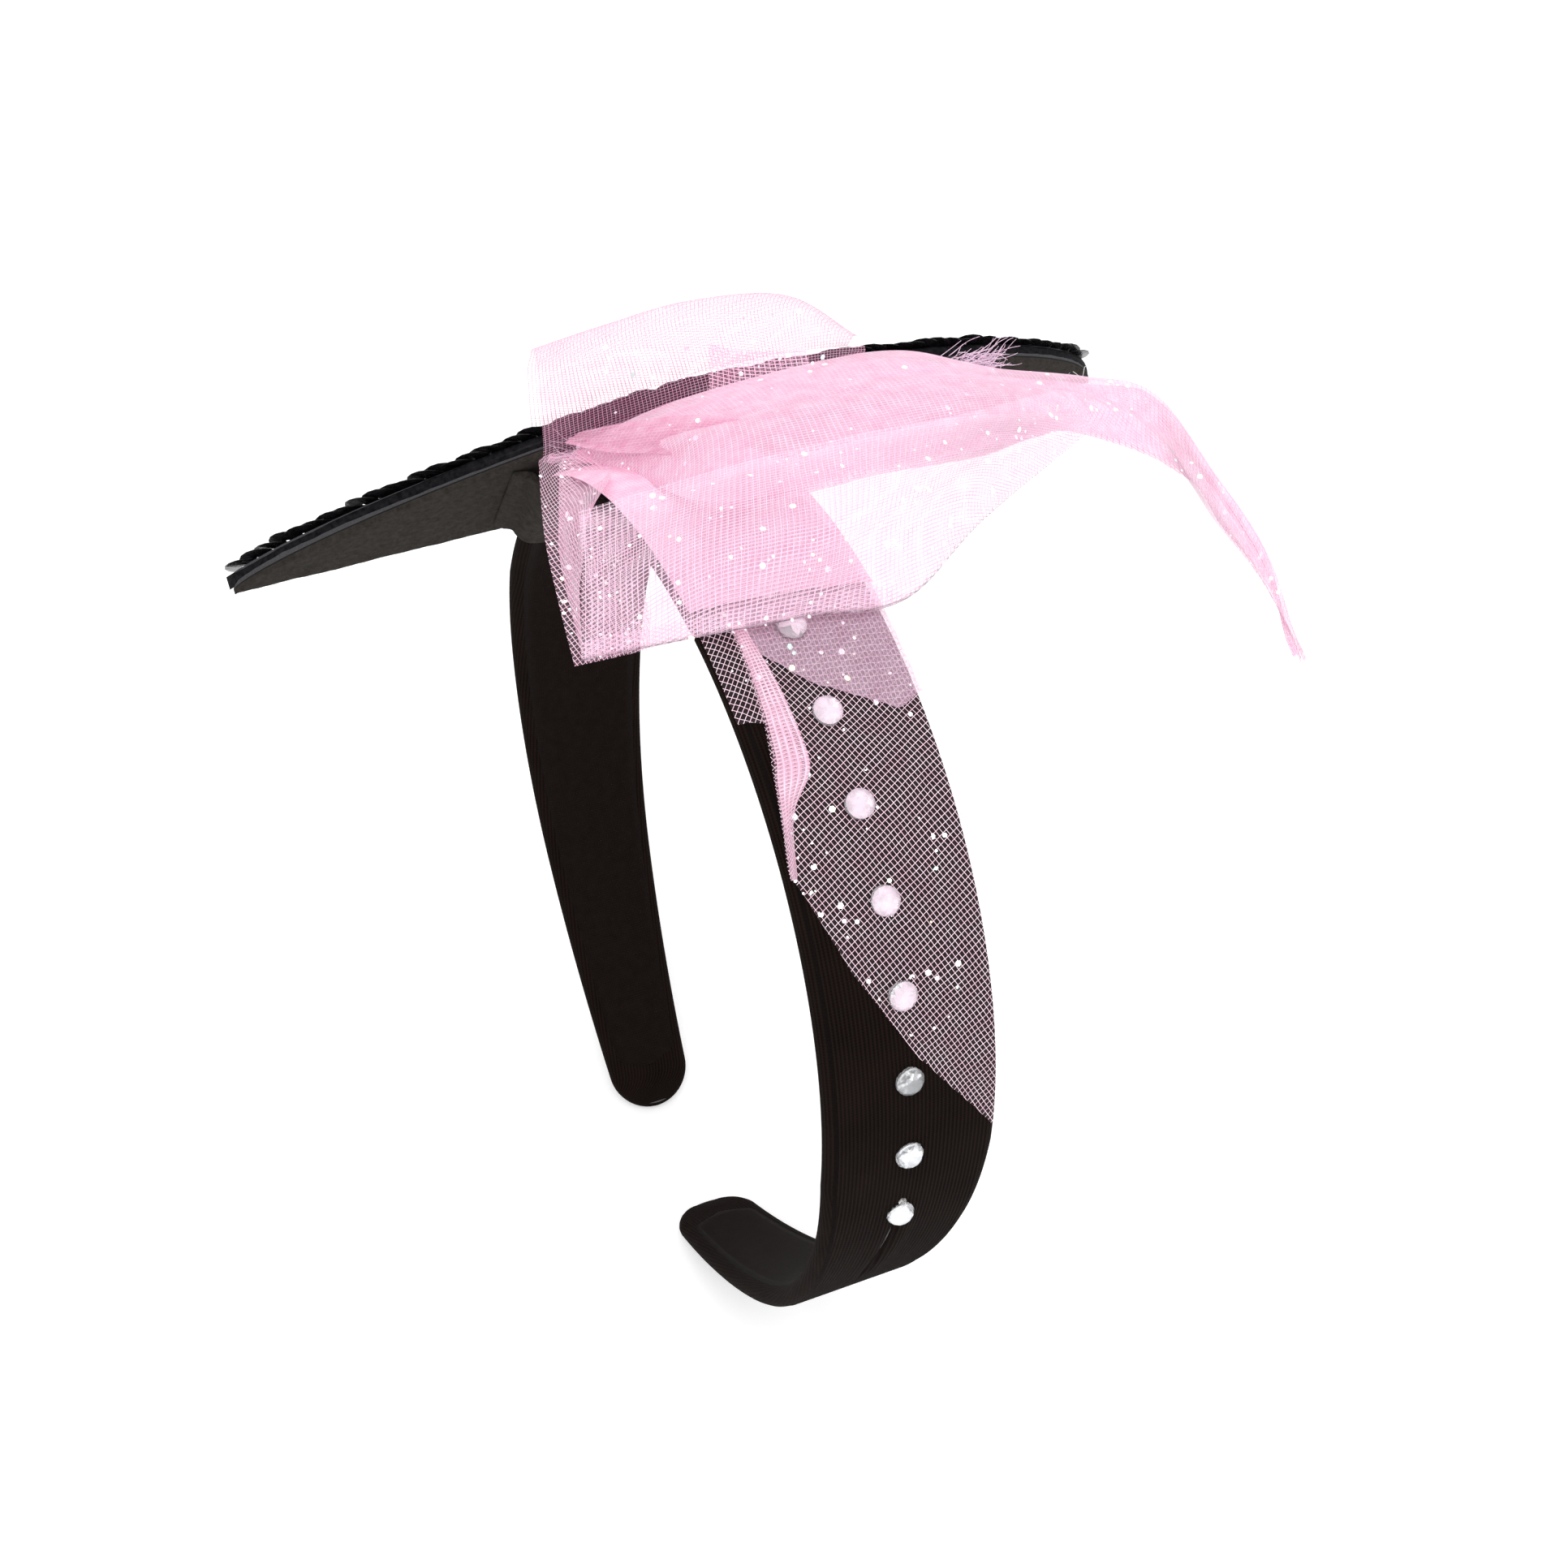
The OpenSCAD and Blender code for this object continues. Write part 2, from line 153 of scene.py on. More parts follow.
def turned(flat: np.ndarray, degrees: float) -> np.ndarray:
    """Turns pairs of distances along a cloth."""
    a = math.radians(degrees)
    return flat.reshape(-1, 2) @ np.array([[math.cos(a), math.sin(a)], [-math.sin(a), math.cos(a)]])


def spline(row: np.ndarray, steps: int) -> np.ndarray:
    """Runs a Catmull-Rom curve through points.

    Args:
        row: Points along the first axis.
        steps: Steps between two points.

    Returns:
        The points of the curve along the first axis.
    """
    row = np.asarray(row, dtype=float)
    full = np.concatenate([[2 * row[0] - row[1]], row, [2 * row[-1] - row[-2]]])
    out = []
    for i in range(len(row) - 1):
        p0, p1, p2, p3 = full[i:i + 4]
        for t in np.arange(steps) / steps:
            out.append(0.5 * (2 * p1 + (p2 - p0) * t + (2 * p0 - 5 * p1 + 4 * p2 - p3) * t ** 2
                              + (3 * p1 - p0 - 3 * p2 + p3) * t ** 3))
    out.append(row[-1])
    return np.array(out)


def dress(piece: bpy.types.Object, material: bpy.types.Material, slot: str,
          *nodes: str) -> bpy.types.Object:
    """Gives a piece its finish and ties it to the frame.

    Args:
        piece: The piece.
        material: Its finish.
        slot: Not used (the material slot that the finish belongs to).
        nodes: CAD nodes that the piece stands for.

    Returns:
        The same piece.
    """
    piece.data.materials.clear()
    piece.data.materials.append(material)
    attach(piece, BODY)
    if nodes:
        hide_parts(*nodes)
    LOG.info("%s: %d faces", piece.name, len(piece.data.polygons))
    return piece


# ---------------------------------------------------------------- finishes


class Shader:
    """A material under construction, with short calls for the nodes that finishes share."""

    def __init__(self, name: str) -> None:
        """Starts an empty material.

        Args:
            name: The material's name.
        """
        self.material = bpy.data.materials.new(name)
        self.material.use_nodes = True
        self.tree = self.material.node_tree
        self.tree.nodes.clear()
        self.output = self.tree.nodes.new("ShaderNodeOutputMaterial")

    def node(self, kind: str, values: dict[str, object] | None = None,
             **attributes: object) -> bpy.types.Node:
        """Adds a node.

        Args:
            kind: The node type without its ShaderNode prefix.
            values: Numbers or sockets for its named inputs.
            attributes: Properties of the node itself.

        Returns:
            The node.
        """
        made = self.tree.nodes.new("ShaderNode" + kind)
        for key, value in attributes.items():
            setattr(made, key, value)
        for key, value in (values or {}).items():
            self.put(made.inputs[key], value)
        return made

    def put(self, target: Socket, value: object) -> None:
        """Links a socket to another, or sets its value."""
        if isinstance(value, bpy.types.NodeSocket):
            self.tree.links.new(value, target)
        else:
            target.default_value = value

    def math(self, operation: str, first: object, second: object = 0.0) -> Socket:
        """Adds a math node and returns its result."""
        made = self.node("Math", operation=operation)
        self.put(made.inputs[0], first)
        self.put(made.inputs[1], second)
        return made.outputs[0]

    def place(self, uv: bool = False, scale: tuple[float, float, float] = (1, 1, 1)) -> Socket:
        """Gives texture coordinates in millimetres.

        Args:
            uv: Whether they come from the cloth map and not from the object.
            scale: Stretch of each axis.

        Returns:
            The coordinates.
        """
        made = (self.node("UVMap", uv_map="cloth").outputs[0] if uv
                else self.node("TexCoord").outputs["Object"])
        size = 1.0 if uv else 1 / MM
        mapped = self.node("Mapping", {"Vector": made, "Scale": tuple(size * k for k in scale)})
        return mapped.outputs[0]

    def noise(self, at: Socket, scale: float, detail: float = 3.0, roughness: float = 0.55) -> Socket:
        """Adds noise with scale waves to a millimetre and returns its value from 0 to 1."""
        made = self.node("TexNoise", {"Vector": at, "Scale": scale, "Detail": detail, "Roughness": roughness})
        return made.outputs["Fac"]

    def ramp(self, value: Socket, *stops: tuple[float, tuple[float, float, float]]) -> Socket:
        """Turns a value into a colour.

        Args:
            value: From 0 to 1.
            stops: Pairs of a place on the ramp and a linear colour.

        Returns:
            The colour.
        """
        made = self.node("ValToRGB", {"Fac": value})
        while len(made.color_ramp.elements) < len(stops):
            made.color_ramp.elements.new(0.5)
        for element, (place, colour) in zip(made.color_ramp.elements, stops):
            element.position = place
            element.color = (*colour, 1.0)
        return made.outputs["Color"]

    def bump(self, height: Socket, distance: float, strength: float = 1.0) -> Socket:
        """Makes a bumped normal; distance is the height of a full step, in millimetres."""
        made = self.node("Bump", {"Height": height, "Distance": distance * MM, "Strength": strength})
        return made.outputs[0]

    def finish(self, values: dict[str, object]) -> bpy.types.Material:
        """Ends the material in one Principled shader.

        Args:
            values: Numbers or sockets for the shader's inputs.

        Returns:
            The material.
        """
        shader = self.node("BsdfPrincipled", values)
        self.put(self.output.inputs["Surface"], shader.outputs[0])
        return self.material


@dataclass(frozen=True)
class KnitFinish:
    """Fine black rib knit, slightly brown, with a soft nap and painted shade in the hollows of its ribs."""

    name: str = "black_knit"
    dark: tuple[float, float, float] = (0.0028, 0.0015, 0.0011)
    light: tuple[float, float, float] = (0.0175, 0.0105, 0.0085)
    rib: float = 0.6
    course: float = 0.42

    def build(self) -> bpy.types.Material:
        """Makes the material."""
        s = Shader(self.name)
        at = s.place(uv=True)
        parts = s.node("SeparateXYZ", {"Vector": at})
        wander = s.math("MULTIPLY", s.noise(s.place(uv=True, scale=(0.05, 0.4, 1)), 1.0), 0.5)
        across = s.math("ADD", s.math("DIVIDE", parts.outputs[1], self.rib), wander)
        wale = s.math("PINGPONG", across, 0.5)
        lean = s.math("MULTIPLY", wale, 0.8)
        stitch = s.math("PINGPONG", s.math("ADD", s.math("DIVIDE", parts.outputs[0], self.course), lean), 0.5)
        fuzz = s.noise(at, 6.0, 4.0, 0.7)
        height = s.math("ADD", s.math("MULTIPLY", wale, 1.6), s.math("MULTIPLY", stitch, 0.7))
        height = s.math("ADD", height, s.math("MULTIPLY", fuzz, 0.5))
        patch = s.noise(at, 0.12, 2.0)
        # Partly painted shade: the colour darkens where ribs and stitches are low, in the hollows; the patch
        # noise adds random tone.
        tone = s.math("ADD", s.math("MULTIPLY", height, 0.45), s.math("MULTIPLY", patch, 0.3))
        colour = s.ramp(tone, (0.25, self.dark), (0.95, self.light))
        return s.finish({"Base Color": colour, "Roughness": 0.9, "Normal": s.bump(height, 0.09),
                         "Sheen Weight": 0.01, "Sheen Roughness": 0.5, "Specular IOR Level": 0.03})


@dataclass(frozen=True)
class RibbonFinish:
    """Plain woven black ribbon, as on the band's inner face, with painted shade between its threads."""

    name: str = "lining_ribbon"
    dark: tuple[float, float, float] = (0.004, 0.0024, 0.0018)
    light: tuple[float, float, float] = (0.0125, 0.008, 0.0066)
    thread: float = 0.32

    def build(self) -> bpy.types.Material:
        """Makes the material."""
        s = Shader(self.name)
        at = s.place(uv=True)
        parts = s.node("SeparateXYZ", {"Vector": at})
        warp = s.math("PINGPONG", s.math("DIVIDE", parts.outputs[1], self.thread), 0.5)
        weft = s.math("PINGPONG", s.math("DIVIDE", parts.outputs[0], self.thread * 1.4), 0.5)
        weave = s.math("ADD", warp, s.math("MULTIPLY", weft, 0.8))
        # Partly painted shade: the colour darkens where the weave is low, between the threads; the noise adds
        # random tone.
        tone = s.math("ADD", s.math("MULTIPLY", weave, 0.5), s.math("MULTIPLY", s.noise(at, 0.5), 0.5))
        colour = s.ramp(tone, (0.1, self.dark), (0.9, self.light))
        return s.finish({"Base Color": colour, "Roughness": 0.8, "Normal": s.bump(weave, 0.05),
                         "Sheen Weight": 0.01, "Specular IOR Level": 0.03})


@dataclass(frozen=True)
class FeltFinish:
    """Charcoal felt: matted fibres, pale lint and uneven tone."""

    name: str = "black_felt"
    dark: tuple[float, float, float] = (0.010, 0.0085, 0.0072)
    light: tuple[float, float, float] = (0.056, 0.048, 0.042)

    def build(self) -> bpy.types.Material:
        """Makes the material."""
        s = Shader(self.name)
        at = s.place()
        fibres = s.noise(s.place(scale=(1.0, 0.35, 1.0)), 5.0, 6.0, 0.75)
        matted = s.noise(at, 0.9, 3.0, 0.6)
        tone = s.math("ADD", s.math("MULTIPLY", fibres, 0.6), s.math("MULTIPLY", matted, 0.5))
        lint = s.math("GREATER_THAN", s.noise(at, 3.2, 2.0, 0.4), 0.74)
        tone = s.math("ADD", tone, s.math("MULTIPLY", lint, 0.3))
        colour = s.ramp(tone, (0.32, self.dark), (0.78, self.light))
        return s.finish({"Base Color": colour, "Roughness": 1.0, "Normal": s.bump(tone, 0.35),
                         "Sheen Weight": 0.03, "Sheen Roughness": 0.6, "Specular IOR Level": 0.03})


@dataclass(frozen=True)
class FilmFinish:
    """Glossy black film, for the sequins and the cloth that wraps the panel's rim."""

    name: str = "black_sequins"
    dark: tuple[float, float, float] = (0.003, 0.003, 0.0035)
    light: tuple[float, float, float] = (0.014, 0.013, 0.015)
    roughness: float = 0.16
    grain: float = 0.8
    coat: float = 0.6

    def build(self) -> bpy.types.Material:
        """Makes the material."""
        s = Shader(self.name)
        at = s.place()
        patch = s.noise(at, self.grain, 3.0)
        scuff = s.noise(at, 6.0, 4.0, 0.7)
        rough = s.node("MapRange", {"Value": scuff, "To Min": self.roughness * 0.6,
                                    "To Max": self.roughness * 2.0})
        relief = s.math("ADD", patch, s.math("MULTIPLY", scuff, 0.15))
        return s.finish({"Base Color": s.ramp(patch, (0.3, self.dark), (0.7, self.light)),
                         "Roughness": rough.outputs[0], "Coat Weight": self.coat, "Coat Roughness": 0.08,
                         "Specular IOR Level": 0.5 * self.coat, "Normal": s.bump(relief, 0.12)})


@dataclass(frozen=True)
class TulleFinish:
    """Glitter net: a woven grid of pink threads with open cells, denser where it is seen aslant, with a
    painted glow.

    The cloth map is in millimetres, with the threads along its axes.
    """

    name: str = "pink_tulle"
    pale: tuple[float, float, float] = (0.95, 0.65, 0.80)
    deep: tuple[float, float, float] = (0.93, 0.53, 0.70)
    wide_pitch: float = 0.86
    close_pitch: float = 0.56
    thread: float = 0.13
    haze: float = 0.0
    # Strength of the threads' emission: a painted glow that stands in for light passing through the layers.
    painted_glow: float = 0.14
    dense: float = 0.5

    def build(self) -> bpy.types.Material:
        """Makes the material."""
        s = Shader(self.name)
        at = s.place(uv=True)
        parts = s.node("SeparateXYZ", {"Vector": at})
        drift = s.node("TexNoise", {"Vector": at, "Scale": 0.15, "Detail": 1.0})
        shift = s.node("SeparateXYZ", {"Vector": drift.outputs["Color"]})
        height: list[Socket] = []
        for axis, pitch in ((0, self.wide_pitch), (1, self.close_pitch)):
            moved = s.math("ADD", parts.outputs[axis], s.math("MULTIPLY", shift.outputs[axis], 0.5))
            height.append(s.math("MULTIPLY", s.math("PINGPONG", s.math("DIVIDE", moved, pitch), 0.5), pitch))
        nearest = s.math("MINIMUM", height[0], height[1])
        slant = s.math("POWER", s.node("LayerWeight", {"Blend": 0.5}).outputs["Facing"], 3.0)
        cover = s.math("ADD", s.math("MULTIPLY", slant, self.dense), self.haze)
        mask = s.math("MAXIMUM", s.math("LESS_THAN", nearest, self.thread / 2), cover)
        tone = s.noise(at, 0.35, 3.0)
        colour = s.ramp(tone, (0.35, self.deep), (0.65, self.pale))
        # The emission is a painted glow, standing in for light scattered through the net; the cloth gives off
        # no light of its own.
        return s.finish({"Base Color": colour, "Alpha": mask, "Roughness": 0.6, "Specular IOR Level": 0.2,
                         "Emission Color": colour, "Emission Strength": self.painted_glow,
                         "Normal": s.bump(s.math("MULTIPLY", nearest, -1.0), 0.5)})


@dataclass(frozen=True)
class GlitterFinish:
    """Iridescent flakes that change from white to gold, blue and green from flake to flake, with a painted
    glint.
    """

    name: str = "glitter_flakes"

    def build(self) -> bpy.types.Material:
        """Makes the material."""
        s = Shader(self.name)
        cells = s.node("TexVoronoi", {"Vector": s.place(), "Scale": 0.45})
        pick = s.node("SeparateColor", {"Color": cells.outputs["Color"]}).outputs[0]
        colour = s.ramp(pick, (0.0, (0.96, 0.94, 0.97)), (0.55, (0.97, 0.90, 0.96)),
                        (0.68, (0.90, 0.92, 0.55)), (0.80, (0.60, 0.84, 0.96)),
                        (0.90, (0.58, 0.92, 0.76)), (1.0, (1.0, 0.86, 0.72)))
        # The emission is a painted glint that makes the flakes sparkle; they give off no light of their own.
        return s.finish({"Base Color": colour, "Metallic": 0.35, "Roughness": 0.22, "Coat Weight": 0.5,
                         "Emission Color": colour, "Emission Strength": 0.6})


@dataclass(frozen=True)
class StoneFinish:
    """Clear cast stone."""

    name: str = "clear_stone"
    tint: tuple[float, float, float] = (0.97, 0.98, 1.0)

    def build(self) -> bpy.types.Material:
        """Makes the material."""
        s = Shader(self.name)
        haze = s.noise(s.place(), 1.5, 2.0)
        rough = s.node("MapRange", {"Value": haze, "To Min": 0.0, "To Max": 0.06})
        return s.finish({"Base Color": (*self.tint, 1.0), "Roughness": rough.outputs[0], "IOR": 1.54,
                         "Transmission Weight": 0.85, "Coat Weight": 0.3, "Coat Roughness": 0.02})


@dataclass(frozen=True)
class FoilFinish:
    """Backing behind a stone: silvery, pinkish or dark, with a slow change of tone and a painted glow."""

    name: str = "stone_foil"
    tone: tuple[float, float, float] = (0.93, 0.94, 0.97)
    metal: float = 0.35
    # Strength of the backing's emission: a painted glow that brightens the stone in front of it.
    painted_glow: float = 0.2

    def build(self) -> bpy.types.Material:
        """Makes the material."""
        s = Shader(self.name)
        patch = s.noise(s.place(), 0.8, 2.0)
        low = tuple(k * 0.78 for k in self.tone)
        colour = s.ramp(patch, (0.4, low), (0.55, self.tone))
        # The emission is a painted glow; the backing gives off no light of its own.
        return s.finish({"Base Color": colour, "Metallic": self.metal,
                         "Emission Color": colour, "Emission Strength": self.painted_glow,
                         "Roughness": 0.25, "Normal": s.bump(patch, 0.03)})


@dataclass(frozen=True)
class PlainFinish:
    """A worked surface in one tone with grain: foam, plastic, glue and thread."""

    name: str
    tone: tuple[float, float, float]
    roughness: float
    grain: float = 1.5
    depth: float = 0.1
    clear: float = 0.0

    def build(self) -> bpy.types.Material:
        """Makes the material."""
        s = Shader(self.name)
        at = s.place()
        grain = s.noise(at, self.grain, 5.0, 0.65)
        low = tuple(k * 0.7 for k in self.tone)
        high = tuple(min(1.0, k * 1.25) for k in self.tone)
        rough = s.node("MapRange", {"Value": grain, "To Min": self.roughness * 0.8,
                                    "To Max": min(1.0, self.roughness * 1.25)})
        return s.finish({"Base Color": s.ramp(grain, (0.35, low), (0.65, high)),
                         "Roughness": rough.outputs[0], "Normal": s.bump(grain, self.depth),
                         "Transmission Weight": self.clear})


# ---------------------------------------------------------------- band


@dataclass(frozen=True)
class BandLine:
    """The band's middle line: three tangent arcs a side, measured by distance from the crown."""

    crown_r: float = 63.0
    crown_a: float = 96.5
    side_r: float = 88.0
    side_a: float = 30.0
    tip_r: float = 150.0
    tip_a: float = 18.5
    width: float = 26.0
    tip_width: float = 14.0
    taper_from: float = 88.0
    half_t: float = 1.6
    lining_t: float = 0.4

    @property
    def seat(self) -> float:
        """Height of the middle line over the head, at the crown."""
        return self.half_t + self.lining_t

    @property
    def arcs(self) -> list[tuple[float, float]]:
        """Radius and angle, in radians, of each arc from the crown to a tip."""
        return [(self.crown_r, math.radians(self.crown_a)), (self.side_r, math.radians(self.side_a)),
                (self.tip_r, math.radians(self.tip_a))]

    @property
    def length(self) -> float:
        """Length of one arm, from the crown to its tip."""
        return sum(r * a for r, a in self.arcs)

    def turn(self, s: float) -> float:
        """Angle that the line has turned through at s, in radians."""
        left, angle = abs(s), 0.0
        for radius, span in self.arcs:
            step = min(left, radius * span)
            angle += step / radius
            left -= step
        return math.copysign(angle, s)

    def at(self, s: float, y: float = 0.0, off: float = 0.0) -> np.ndarray:
        """Gives a point beside the line.

        Args:
            s: Distance from the crown, positive towards the stones.
            y: Place across the band.
            off: Distance outside the band's middle.

        Returns:
            The point, in millimetres.
        """
        left, angle, x, z = abs(s), 0.0, 0.0, self.seat
        for radius, span in self.arcs:
            step = min(left, radius * span)
            after = angle + step / radius
            x += radius * (math.sin(after) - math.sin(angle))
            z += radius * (math.cos(after) - math.cos(angle))
            angle, left = after, left - step
        x += off * math.sin(angle)
        return np.array([math.copysign(x, s) if s else x, y, z + off * math.cos(angle)])

    def half_width(self, s: float) -> float:
        """Half of the band's width at s, closing to nothing round each tip."""
        s = abs(s)
        share = max(0.0, (s - self.taper_from) / (self.length - self.taper_from))
        straight = (self.width - (self.width - self.tip_width) * share) / 2
        round_r = self.tip_width / 2
        past = (s - (self.length - round_r)) / round_r
        return straight if past <= 0 else straight * math.sqrt(max(0.0, 1 - min(1.0, past) ** 2))

    def axes(self, s: float) -> Matrix:
        """Axes at s: X along the band, Y across it and Z out of it."""
        a = self.turn(s)
        return Matrix(((math.cos(a), 0, math.sin(a)), (0, 1, 0), (-math.sin(a), 0, math.cos(a))))


@dataclass
class Band:
    """The covered band: its knit cover, lining and core."""

    line: BandLine
    knit: KnitFinish = KnitFinish()
    ribbon: RibbonFinish = RibbonFinish()
    rib_depth: float = 0.05
    crease_from: float = 95.0
    crease_to: float = 124.0

    def stations(self, step: float) -> list[float]:
        """Distances along the whole band, close together where the tips are round."""
        end, round_r = self.line.length, self.line.tip_width / 2
        arm = list(np.arange(0, end - round_r, step))
        arm += [end - round_r + round_r * math.sin(math.radians(a)) for a in range(0, 90, 6)]
        arm.append(end - 0.004)
        return [-s for s in reversed(arm[1:])] + arm

    def crease(self, s: float, y: float) -> float:
        """Depth of the pinched fold below the last stone."""
        along = (s - self.crease_from) / (self.crease_to - self.crease_from)
        if not 0 < along < 1:
            return 0.0
        middle = -0.4 - 1.6 * along
        swell = math.sin(math.pi * along) ** 0.7
        groove = math.exp(-((y - middle) / 0.55) ** 2)
        lips = math.exp(-((y - middle - 1.9) / 1.2) ** 2) + 0.7 * math.exp(-((y - middle + 1.8) / 1.1) ** 2)
        return swell * (0.75 * groove - 0.35 * lips)

    def section(self, s: float, flat: int, bend: int) -> list[tuple[float, float, float, float]]:
        """One closed section of the cover at s.

        Args:
            s: Distance from the crown.
            flat: Points across each flat face.
            bend: Points round each edge.

        Returns:
            Across, outward, shift outwards for the ribs, and distance round the section.
        """
        half = self.line.half_width(s)
        past = (abs(s) - self.line.length + self.line.tip_width / 2) / (self.line.tip_width / 2)
        thick = self.line.half_t * math.sqrt(max(0.02, 1 - max(0.0, past) ** 4))
        thick = min(thick, half)
        straight = max(half - thick, 0.0)
        ring = [(-straight + 2 * straight * i / flat, thick, True) for i in range(flat + 1)]
        ring += [(straight + thick * math.cos(a), thick * math.sin(a), False)
                 for a in (math.pi / 2 - math.pi * i / bend for i in range(1, bend))]
        ring += [(straight - 2 * straight * i / flat, -thick, False) for i in range(flat + 1)]
        ring += [(-straight - thick * math.cos(a), -thick * math.sin(a), False)
                 for a in (math.pi / 2 - math.pi * i / bend for i in range(1, bend))]
        out, run, last = [], -straight, None
        for y, z, outer in ring:
            if last is not None:
                run += math.hypot(y - last[0], z - last[1])
            last = (y, z)
            rib = self.rib_depth * math.cos(2 * math.pi * y / self.knit.rib) if outer else 0.0
            out.append((y, z, rib - (self.crease(s, y) if outer else 0.0), run))
        return out

    def build_cover(self) -> bpy.types.Object:
        """Sweeps the knit cover along the band, ribs and crease included."""
        points, uv, count = [], [], 0
        stations = self.stations(1.6)
        for s in stations:
            ring = self.section(s, 168, 8)
            count = len(ring)
            for y, z, rib, run in ring:
                points.append(self.line.at(s, y, z + rib))
                uv.append((s, run))
        cover = make_mesh("knit_cover", np.array(points), tube_faces(len(stations), count), np.array(uv))
        return dress(cover, self.knit.build(), "black_knit", "band_cover")

    def build_lining(self) -> bpy.types.Object:
        """Lays the lining ribbon on the band's inner face, with soft edges."""
        inset, thick, columns = 1.9, self.line.lining_t, 13
        end = self.line.length - self.line.tip_width / 2 - 1.0
        points, uv = [], []
        stations = np.linspace(-end, end, 240)
        for s in stations:
            half = self.line.half_width(s) - inset
            ends = min(1.0, (end - abs(s)) / 3.0)
            half = max(0.4, half * math.sqrt(max(0.02, 1 - (1 - ends) ** 2)))
            for side in (1, -1):
                for i in range(columns):
                    y = side * half * (1 - 2 * i / (columns - 1))
                    edge = 1 - abs(y / half) ** 4
                    depth = thick * edge if side > 0 else 0.0
                    points.append(self.line.at(s, y, -self.line.half_t - depth))
                    uv.append((s, y))
        faces = tube_faces(len(stations), 2 * columns)
        ribbon = make_mesh("lining_ribbon", np.array(points), faces, np.array(uv))
        return dress(ribbon, self.ribbon.build(), "lining_ribbon", "band_lining")


# ---------------------------------------------------------------- threads


class Strands:
    """Threads and fibres gathered into one mesh of thin tapered tubes."""

    def __init__(self, sides: int = 4) -> None:
        """Starts with no strand.

        Args:
            sides: Sides of each tube.
        """
        self.sides = sides
        self.points: list[np.ndarray] = []
        self.faces: list[list[int]] = []

    def add(self, path: np.ndarray, radius: float, taper: float = 0.6) -> None:
        """Adds one strand.

        Args:
            path: Its points, in millimetres.
            radius: Its radius.
            taper: Share of the radius that is left at its far end.
        """
        path = np.asarray(path, dtype=float)
        start, count = len(self.points), len(path)
        side = np.array([0.31, 0.77, 0.56])
        for i, point in enumerate(path):
            ahead = path[min(i + 1, count - 1)] - path[max(i - 1, 0)]
            ahead /= np.linalg.norm(ahead) + 1e-9
            out = np.cross(ahead, side)
            out /= np.linalg.norm(out) + 1e-9
            up = np.cross(ahead, out)
            size = radius * (1 - (1 - taper) * i / (count - 1))
            for k in range(self.sides):
                a = 2 * math.pi * k / self.sides
                self.points.append(point + size * (math.cos(a) * out + math.sin(a) * up))
        self.faces += tube_faces(count, self.sides, start)

    def build(self, name: str, material: bpy.types.Material, slot: str, *nodes: str) -> bpy.types.Object:
        """Makes the piece."""
        return dress(make_mesh(name, np.array(self.points), self.faces), material, slot, *nodes)


def curl(start: np.ndarray, heading: np.ndarray, length: float, loops: float, swing: float,
         rng: random.Random) -> np.ndarray:
    """Runs a loose thread from a point.

    Args:
        start: Where it begins, in millimetres.
        heading: The way it goes.
        length: How far it reaches.
        loops: Waves along it.
        swing: Size of the waves.
        rng: Source of its chance.

    Returns:
        Points along the thread.
    """
    heading = np.asarray(heading, dtype=float) / np.linalg.norm(heading)
    side = np.cross(heading, [rng.uniform(-1, 1), rng.uniform(-1, 1), rng.uniform(-1, 1)])
    side /= np.linalg.norm(side) + 1e-9
    other = np.cross(heading, side)
    phase = rng.uniform(0, 6.28)
    out = []
    for i in range(11):
        t = i / 10
        wave = 2 * math.pi * loops * t + phase
        out.append(start + heading * length * t + side * swing * t * math.sin(wave)
                   + other * swing * 0.7 * t * math.cos(wave * 0.8))
    return np.array(out)


# ---------------------------------------------------------------- ear panel


